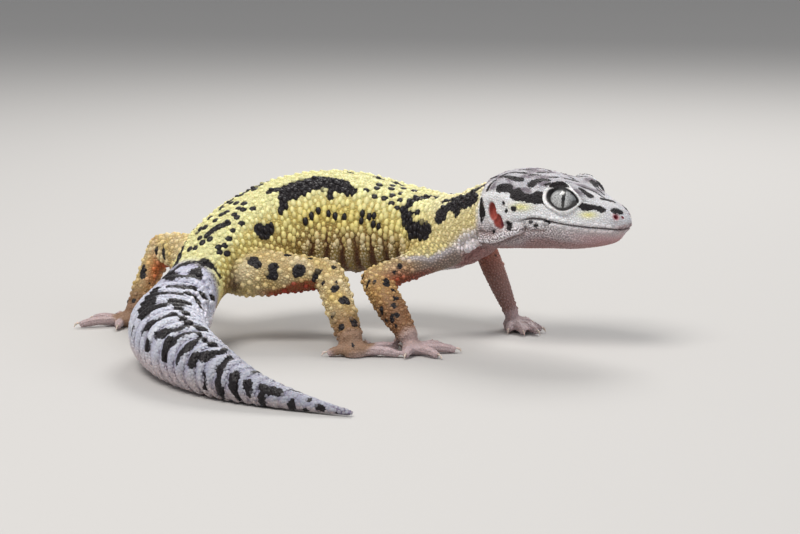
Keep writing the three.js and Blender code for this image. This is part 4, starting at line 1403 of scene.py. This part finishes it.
def grow_scales(name, slot, shape, chosen, size, shade=0.0, across=False, lean=0.0, contrast=1.0):
    """Joins copies of a scale to pieces. Its size is (length, width, rise) in millimetres.

    Shade mixes in the skin's darker colour from between the scales, painted shade included, across
    turns the scale to stand upright on the flank, lean bends its tip back, and contrast sets how much
    scales differ and how much painted shade darkens their feet.
    """
    corners, faces = shape
    limit = MOST_FACES // len(faces)
    chosen = chosen[np.argsort(station_[chosen], kind="stable")]
    parts = math.ceil(len(chosen) / limit)
    sizes = np.broadcast_to(np.stack(np.broadcast_arrays(*size), -1), (SOWN, 3))
    for number, some in enumerate(np.array_split(chosen, parts), 1):
        z = root_normal[some]
        x = np.cross(root_lie[some], z) if across else root_lie[some]
        y = np.cross(z, x)
        local = corners * sizes[some][:, None] * rng.uniform(0.9, 1.1, (len(some), 1, 1))
        local[..., 0] += lean * sizes[some][:, None, 0] * np.maximum(corners[:, 2], 0) ** 2
        places = root[some][:, None] + sum(local[..., i, None] * v[:, None] for i, v in enumerate((x, y, z)))
        places[..., 2] = np.maximum(places[..., 2], LOWEST)
        joined = faces[None] + np.arange(len(some))[:, None, None] * len(corners)
        piece_name = name if parts == 1 else f"{name}_{number}"
        mesh = new_piece(piece_name, places.reshape(-1, 3), joined.reshape(-1, 3), scale_finish).data
        # shade mixes in the darker colour from between the scales, with its painted shade
        colour = root_tone[some] + (root_crevice_with_shade[some] - root_tone[some]) * shade
        colour = colour * (1 + contrast * rng.uniform(-0.14, 0.08, (len(some), 1)))
        # painted shade at the foot of each scale, darker towards the skin
        foot_shade = 1 - 0.32 * contrast * (1 - ramp(corners[:, 2], -0.3, 0.6))
        write_values(mesh, "tone", (colour[:, None] * foot_shade[None, :, None]).reshape(-1, 3))
        write_values(mesh, "mark", np.repeat(root_mark[some], len(corners)))
        spots = root_map[some][:, None] + MAP_PATCH * corners[None, :, :2]
        layer = mesh.uv_layers.new(name="OFBake")
        layer.data.foreach_set("uv", np.clip(spots, 0, 1).reshape(-1, 2)[joined.ravel()].ravel())
        print(piece_name, len(some), "scales,", len(mesh.polygons), "faces")


def cover(name, slot, shape, where, spacing, footprint, **look):
    """Picks roots a spacing apart, each taking its footprint, and grows scales on them."""
    grow_scales(name, slot, shape, pick(where, spacing, footprint), **look)


# %% One flat dark scale to each dot
GIRTH_STEP = 0.2  # millimetres that stand for a degree round the body


def charted(places, rounds):
    """A search tree of places, by station and by degrees round the body."""
    chart = KDTree(len(places))
    for index, (s, g) in enumerate(zip(station_[places], rounds[places])):
        chart.insert((s, g * GIRTH_STEP, 0), index)
    chart.balance()
    return chart


def nearest_places(places, spots):
    """The place nearest to each (station, girth) spot."""
    chart = charted(places, girth_)
    return [places[chart.find((s, g * GIRTH_STEP, 0))[1]] for s, g in spots]


dots = nearest_places(np.flatnonzero(body_ & free), DOTS)
dot_roots = pick(np.isin(np.arange(SOWN), dots), spacing=0.8, footprint=0.9)
root_mark[dot_roots] = -1
grow_scales("dot_scales", "body_skin", TUBERCLE, dot_roots, size=(0.82, 0.68, 0.24))

# %% Tubercles in columns down the flanks
COLUMN, ROW = 1.28, 1.6
FLANK_REACH = 8.5  # the flank bends with the spine, so a step there is shorter or longer than on it
FIRST_STATION, LAST_STATION = -8.0, 50
LOWEST_GIRTH, HIGHEST_GIRTH = -14, 64
flank_roots = []
for on_side, sign in ((right_, 1), (~right_, -1)):
    places = np.flatnonzero(body_ & on_side & free)
    chart = charted(places, side_)
    s = FIRST_STATION
    column = 0
    while s < LAST_STATION:
        bend = math.radians(heading_at(s + 0.5) - heading_at(s - 0.5))
        s += COLUMN / (1 + sign * bend * FLANK_REACH)
        column += 1
        g = LOWEST_GIRTH + 4.5 * (column % 2)
        while g < HIGHEST_GIRTH:
            wobble = rng.normal(0, 0.06, 2)
            _, index, gap = chart.find((s + wobble[0], (g * GIRTH_STEP + wobble[1]), 0))
            if gap < 0.4:
                flank_roots.append(places[index])
            g += math.degrees(ROW / max(reach_[places[index]], 5))
flank_roots = pick(np.isin(np.arange(SOWN), flank_roots), spacing=0.85, footprint=0.62)
root_mark[nearest_places(flank_roots, FLANK_SPOTS)] = -1
print(len(flank_roots), "roots in columns")

# %% Grow the flank's scales, the small ones between and those on the folds
low, high, hip = ramp(side_, -20, 0), ramp(side_, 40, 62), ramp(station_, 2, 14)
flank_size = ((0.7 + 0.26 * low - 0.32 * high) * (0.75 + 0.25 * hip),
              (0.46 + 0.12 * low) * (0.8 + 0.2 * hip), 0.3 + 0.22 * low - 0.16 * high)
holes = ~around(flank_roots, 1.05)
grow_scales("flank_scales", "body_skin", TUBERCLE, flank_roots, flank_size, across=True)
cover("flank_fill", "body_skin", TUBERCLE, body_ & holes & (side_ > -18) & (side_ < 60) & (station_ < 50),
      spacing=1.15, footprint=0.5, size=(0.6 - 0.15 * high, 0.44, 0.34 - 0.08 * high), across=True)
fold_ = sown(low_flank * along_flank * ramp(ribs, 0.1, 0.7))
cover("fold_scales", "body_skin", TUBERCLE, body_ & (side_ < -10) & (side_ > -75) & (fold_ > 0.3),
      spacing=0.6, footprint=0.36, size=(0.34, 0.3, 0.2), across=True)

# %% Rounder scales over the back and neck
cover("back_scales", "body_skin", TUBERCLE, body_ & (side_ > 48),
      spacing=1.7, footprint=0.6, size=(0.62, 0.55, 0.46), lean=0.5)
shoulder_ = sown(on_shoulder) > 0.4
cover("neck_scales", "body_skin", TUBERCLE, (body_ & (station_ > 46) & (side_ > -45)) | shoulder_,
      spacing=0.88, footprint=0.42, size=(0.56, 0.34, 0.24), across=True)

# %% Rows of scales on the tail's rings
tail_ = on_tail[close] & (station_ < -10)
ring_size = (ring_start - ring_end)[close]
spiny = bump(side_ - 20, 40) * right_ * (1 - ramp(-station_, 30, 44))
ring_row = np.isclose(ring_share[close], 0.84, atol=0.07)
cover("tail_ring_scales", "tail_skin", TUBERCLE, tail_ & ring_row & (spiny > 0.3),
      spacing=1.05, footprint=0.55, lean=0.8, contrast=0.2,
      size=(0.22 * ring_size + 0.35 * spiny, 0.6 - 0.14 * spiny, 0.07 + 0.42 * spiny))
cover("tail_plates", "tail_skin", PLATE, tail_,
      spacing=0.54, footprint=0.25, size=(0.36, 0.33, 0.03), shade=0.05, contrast=0.14)

# %% Tubercles on the legs
smooth_part = np.zeros(len(points))
part, along, _, _ = leg_along["front_right"]
smooth_part[part] = along < 0.5
part, along, turn, _ = leg_along["front_left"]
smooth_part[part] = (along < 0.4) | (np.abs(degrees_between(turn, 35)) < 112)
hind_ = sown(is_any(owner, "thigh", "shin"))
leg_roots = pick(leg_ & (sown(smooth_part) < 0.5), spacing=1.2 + 0.3 * hind_, footprint=0.5 + 0.1 * hind_)
freckles = rng.choice(leg_roots, len(leg_roots) // 60)
root_mark[freckles] = -1
leg_size = rng.uniform(0.75, 1.2, SOWN) * (0.45 + 0.13 * hind_)
grow_scales("leg_scales", "leg_skin", TUBERCLE, leg_roots, size=(leg_size, leg_size, leg_size * 0.8))

# %% Scales of the face
lip_rows = np.isclose(above_mouth_, 0.72, atol=0.12) | np.isclose(above_mouth_, -0.66, atol=0.12)
cover("lip_scales", "head_skin", PLATE, head_ & lip_rows & (back_ < 18),
      spacing=1.1, footprint=0.4, size=(0.6, 0.36, 0.08))
cover("temple_scales", "head_skin", TUBERCLE, head_ & (back_ > 14) & (height_ > 24) & (lids_ > 1.8),
      spacing=1.3, footprint=0.36, size=(0.3, 0.28, 0.16))
cover("jaw_scales", "head_skin", GRANULE, head_ & (back_ > 9) & (above_mouth_ < -1.2),
      spacing=0.52, footprint=0.2, size=(0.29, 0.27, 0.13), contrast=1.3)
cover("head_grains", "head_skin", GRANULE, head_, spacing=0.38, footprint=0.1, size=(0.23, 0.21, 0.07))

# %% Belly scales and the fine granules between the rest
cover("belly_scales", "body_skin", PLATE, body_ & (side_ < -52),
      spacing=0.8, footprint=0.4, size=(0.5, 0.45, 0.08))
cover("foot_grains", "foot_skin", GRANULE, foot_,
      spacing=0.42, footprint=0.1, size=(0.25, 0.23, 0.04), contrast=0.3)
cover("leg_grains", "leg_skin", GRANULE, leg_,
      spacing=0.5, footprint=0.1, size=(0.29, 0.26, 0.12), shade=0.5)
cover("body_grains", "body_skin", GRANULE, body_ | (on_tail[close] & ~tail_),
      spacing=0.5, footprint=0.1, size=(0.29, 0.26, 0.12), shade=0.75)

# %% [markdown]
# ## Eyes
#
# The eyeball is one smooth ball whose front carries the iris: silver with fine grey threads, a
# crimped upright slit and a black rim, with painted shadow over its front and top where the lids
# overhang it. Its pattern is read from the ball's own gaze coordinates.

# %% The finish of the eye
SLIT_FROM_MIDDLE = (0.48, 0.2, 0)  # the slit stands ahead of the iris's middle and above it
IRIS_STRETCH = (1, 1.28, 1)  # the iris is wider than high
# the black rim is partly the iris's dark edge and partly painted shadow, widest ahead of the slit
RIM = (2.3, 2.58)  # the black rim starts and is full at these distances
SLIT_HALF_HEIGHT = 2.4
IRIS_GREY = four(linear(58, 57, 60))
IRIS_SILVER = four(linear(200, 202, 202))
IRIS_SHADE = four(linear(26, 25, 27))
PUPIL_BLACK = four(linear(8, 7, 8))


def iris_finish():
    finish = new_finish("gecko_eye")
    gaze = node(finish, "ShaderNodeAttribute", attribute_name="gaze").outputs["Vector"]
    parts = node(finish, "ShaderNodeSeparateXYZ", {0: gaze})
    ahead, above = parts.outputs[0], parts.outputs[1]
    flat = node(finish, "ShaderNodeVectorMath", {0: gaze, 1: (1, 1, 0)}, operation="MULTIPLY").outputs[0]
    disc = node(finish, "ShaderNodeVectorMath", {0: flat, 1: IRIS_STRETCH, 2: SLIT_FROM_MIDDLE},
                operation="MULTIPLY_ADD").outputs[0]
    radius = node(finish, "ShaderNodeVectorMath", {0: disc}, operation="LENGTH").outputs["Value"]
    angle = math_node(finish, "ARCTAN2", above, ahead)
    polar = node(finish, "ShaderNodeCombineXYZ", {0: math_node(finish, "MULTIPLY", angle, 2.2), 1: radius})
    threads = node(finish, "ShaderNodeTexNoise", {
        "Vector": polar.outputs[0], "Scale": 2.6, "Detail": 4.0, "Roughness": 0.65, "Distortion": 0.6,
    }).outputs["Fac"]
    fine = node(finish, "ShaderNodeTexNoise", {
        "Vector": flat, "Scale": 3.2, "Detail": 4.0, "Roughness": 0.7,
    }).outputs["Fac"]
    silver = share_between(finish, math_node(finish, "MULTIPLY", threads, fine), 0.12, 0.3)
    iris = mix_colours(finish, silver, IRIS_GREY, IRIS_SILVER)
    crimp = node(finish, "ShaderNodeTexNoise", {
        "Vector": node(finish, "ShaderNodeCombineXYZ", {1: above}).outputs[0], "Scale": 2.2, "Detail": 1.0,
    }).outputs["Fac"]
    height_share = math_node(finish, "DIVIDE", above, SLIT_HALF_HEIGHT)
    taper = math_node(finish, "SUBTRACT", 1.0, math_node(finish, "POWER", height_share, 4.0))
    slit = math_node(finish, "MULTIPLY", taper, math_node(finish, "MULTIPLY_ADD", crimp, 0.4, 0.14))
    gap = math_node(finish, "SUBTRACT", math_node(finish, "ABSOLUTE", ahead), slit)
    in_slit = share_between(finish, gap, 0.05, -0.05)
    in_rim = share_between(finish, math_node(finish, "MULTIPLY_ADD", fine, 0.3, radius), *RIM)
    front_edge = math_node(finish, "MULTIPLY_ADD", fine, 0.6, ahead)
    shadow_ahead = share_between(finish, front_edge, 0.8, 2.2, most=0.92)
    shadow_above = share_between(finish, above, 0.9, 1.7)
    shadow = math_node(finish, "MAXIMUM", shadow_ahead, shadow_above)
    iris = mix_colours(finish, shadow, iris, IRIS_SHADE)
    colour = mix_colours(finish, math_node(finish, "MAXIMUM", in_slit, in_rim), iris, PUPIL_BLACK)
    return surfaced(finish, {
        "Base Color": colour, "Roughness": 0.3, "Coat Weight": 1.0, "Coat Roughness": 0.02,
    })


eye_finish = iris_finish()
print("eye finish of", len(eye_finish.node_tree.nodes), "nodes")

# %% Two eyeballs
GAZE_TURN = math.radians(13)  # the eyes look a little ahead
CORNEA_BULGE = 0.2

for name, sign in SIDES:
    middle, ahead, above, outward = eye_frame(sign)
    bpy.ops.mesh.primitive_uv_sphere_add(
        segments=48, ring_count=32, radius=EYEBALL["radius"] * MM, location=to_model(middle))
    eye = bpy.context.object
    eye.name = f"eyeball_{name}"
    bpy.ops.object.transform_apply(location=True, rotation=True, scale=True)
    bpy.ops.object.shade_smooth()
    off = to_layout(read_places(eye.data)) - middle
    looking = outward * math.cos(GAZE_TURN) + ahead * math.sin(GAZE_TURN)
    across = ahead * math.cos(GAZE_TURN) - outward * math.sin(GAZE_TURN)
    gaze = np.stack([off @ across, off @ above, off @ looking], 1)
    layer = eye.data.attributes.new("gaze", "FLOAT_VECTOR", "POINT")
    layer.data.foreach_set("vector", gaze.astype(np.float32).ravel())
    bulge = CORNEA_BULGE * (1 - ramp(np.hypot(gaze[:, 0], gaze[:, 1]), 0.5, 3.4)) * (gaze[:, 2] > 0)
    write_places(eye.data, to_model(middle + off * (1 + bulge / EYEBALL["radius"])[:, None]))
    eye.data.materials.append(eye_finish)
    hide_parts(f"eye_{name}")
    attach(eye, "root")
print("two eyes")

# %% [markdown]
# ## Claws
#
# Each toe ends in one short hooked claw of pale horn. One is modelled straight, with rings that
# narrow, and each copy is bent down over the line of its own solid.

# %% Model one claw and bend it over each solid
claw_finish = surfaced(new_finish("gecko_claw"), {
    "Base Color": four(linear(206, 190, 178)), "Roughness": 0.3, "Subsurface Weight": 0.2,
    "Subsurface Scale": 0.3 * MM,
})
HALF_WIDTH, HALF_HEIGHT = 0.21, 0.27
ARCH, ROOT_RISE = 0.9, 0.15
claw_corners, claw_faces = scale_shape(9, (0.8, -0.5), (1, 0), (0.9, 0.3), (0.62, 0.6), (0.32, 0.85), (0, 1))


def claw_over(name):
    """The claw's corners, laid along its own solid and bent down at the tip."""
    ends = to_layout(read_places(nodes[name].data))
    middle = (ends.min(0) + ends.max(0)) / 2
    axis = np.linalg.svd(ends - ends.mean(0), full_matrices=False)[2][0]
    run = (ends - middle) @ axis
    spread = np.linalg.norm(ends - middle - run[:, None] * axis, axis=1)
    if spread[run > 0].mean() > spread[run < 0].mean():
        axis, run = -axis, -run
    across = np.cross(axis, up)
    across /= np.linalg.norm(across)
    top = np.cross(across, axis)
    x, y, z = claw_corners.T
    arch = ARCH * z * (1 - z) + ROOT_RISE * (1 - z)
    return (middle + axis * run.min() + axis * (z * np.ptp(run))[:, None]
            + across * (HALF_WIDTH * x)[:, None] + top * (HALF_HEIGHT * y + arch)[:, None])


for leg in LEGS:
    own = sorted(name for name in nodes if name.startswith(f"claw_{leg}"))
    places = np.concatenate([claw_over(name) for name in own])
    places[:, 2] = np.maximum(places[:, 2], 0.01)
    joined = np.concatenate([claw_faces + i * len(claw_corners) for i in range(len(own))])
    claws = new_piece(f"claws_{leg}", places, joined, claw_finish)
    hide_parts(*own)
print("claws on", len(LEGS), "feet")

# %% [markdown]
# ## The stage
#
# A plain pale floor, one soft light above and to the left of the camera, a weaker one on the
# right, one from behind for the line of the back, and a pale sky. The camera looks at the
# animal's right side.

# %% Floor
bpy.ops.mesh.primitive_plane_add(size=3, location=(0, 0, 0))
floor = bpy.context.object
floor.name = "floor"
floor.data.materials.append(surfaced(new_finish("pale_floor"), {
    "Base Color": (0.5, 0.49, 0.48, 1), "Roughness": 0.85,
}))
print("floor laid")

# %% Lights
def soft_light(name, where, size, watts, colour=(1, 1, 1)):
    """A square lamp that faces the animal."""
    lamp = bpy.data.lights.new(name, "AREA")
    lamp.size = size
    lamp.energy = watts
    lamp.color = colour
    holder = bpy.data.objects.new(name, lamp)
    holder.location = where
    aim = Vector((0, 0, 0.02)) - holder.location
    holder.rotation_euler = aim.to_track_quat("-Z", "Y").to_euler()
    bpy.context.collection.objects.link(holder)


soft_light("key_light", (-0.2, -0.25, 0.6), 0.3, 3.6, (1, 0.97, 0.93))
soft_light("fill_light", (0.5, -0.35, 0.25), 0.4, 1.0, (0.92, 0.96, 1))
soft_light("back_light", (0.1, 0.45, 0.45), 0.25, 2.2, (1, 0.98, 0.95))
sky = bpy.data.worlds.new("soft_sky")
sky.use_nodes = True
sky_light = sky.node_tree.nodes["Background"]
sky_light.inputs["Color"].default_value = (0.93, 0.94, 0.96, 1)
sky_light.inputs["Strength"].default_value = 0.4
bpy.context.scene.world = sky
bpy.context.scene.view_settings.view_transform = "Standard"

# %% Camera
CAMERA_PLACE = (0, -489.98, 99.57)  # in the layout, millimetres
CAMERA_PITCH = math.radians(9.5)
SENSOR_WIDTH = 36
LENS = 110.25  # a long lens, as for a small animal seen from half a metre
camera = bpy.data.objects.new("camera", bpy.data.cameras.new("camera"))
camera.location = to_model(np.array(CAMERA_PLACE))
camera.rotation_euler = (math.pi / 2 - CAMERA_PITCH, 0, 0)
camera.data.sensor_width = SENSOR_WIDTH
camera.data.lens = LENS
camera.data.clip_start = 0.01
bpy.context.collection.objects.link(camera)
bpy.context.scene.camera = camera
print("camera at", [round(v, 3) for v in camera.location])
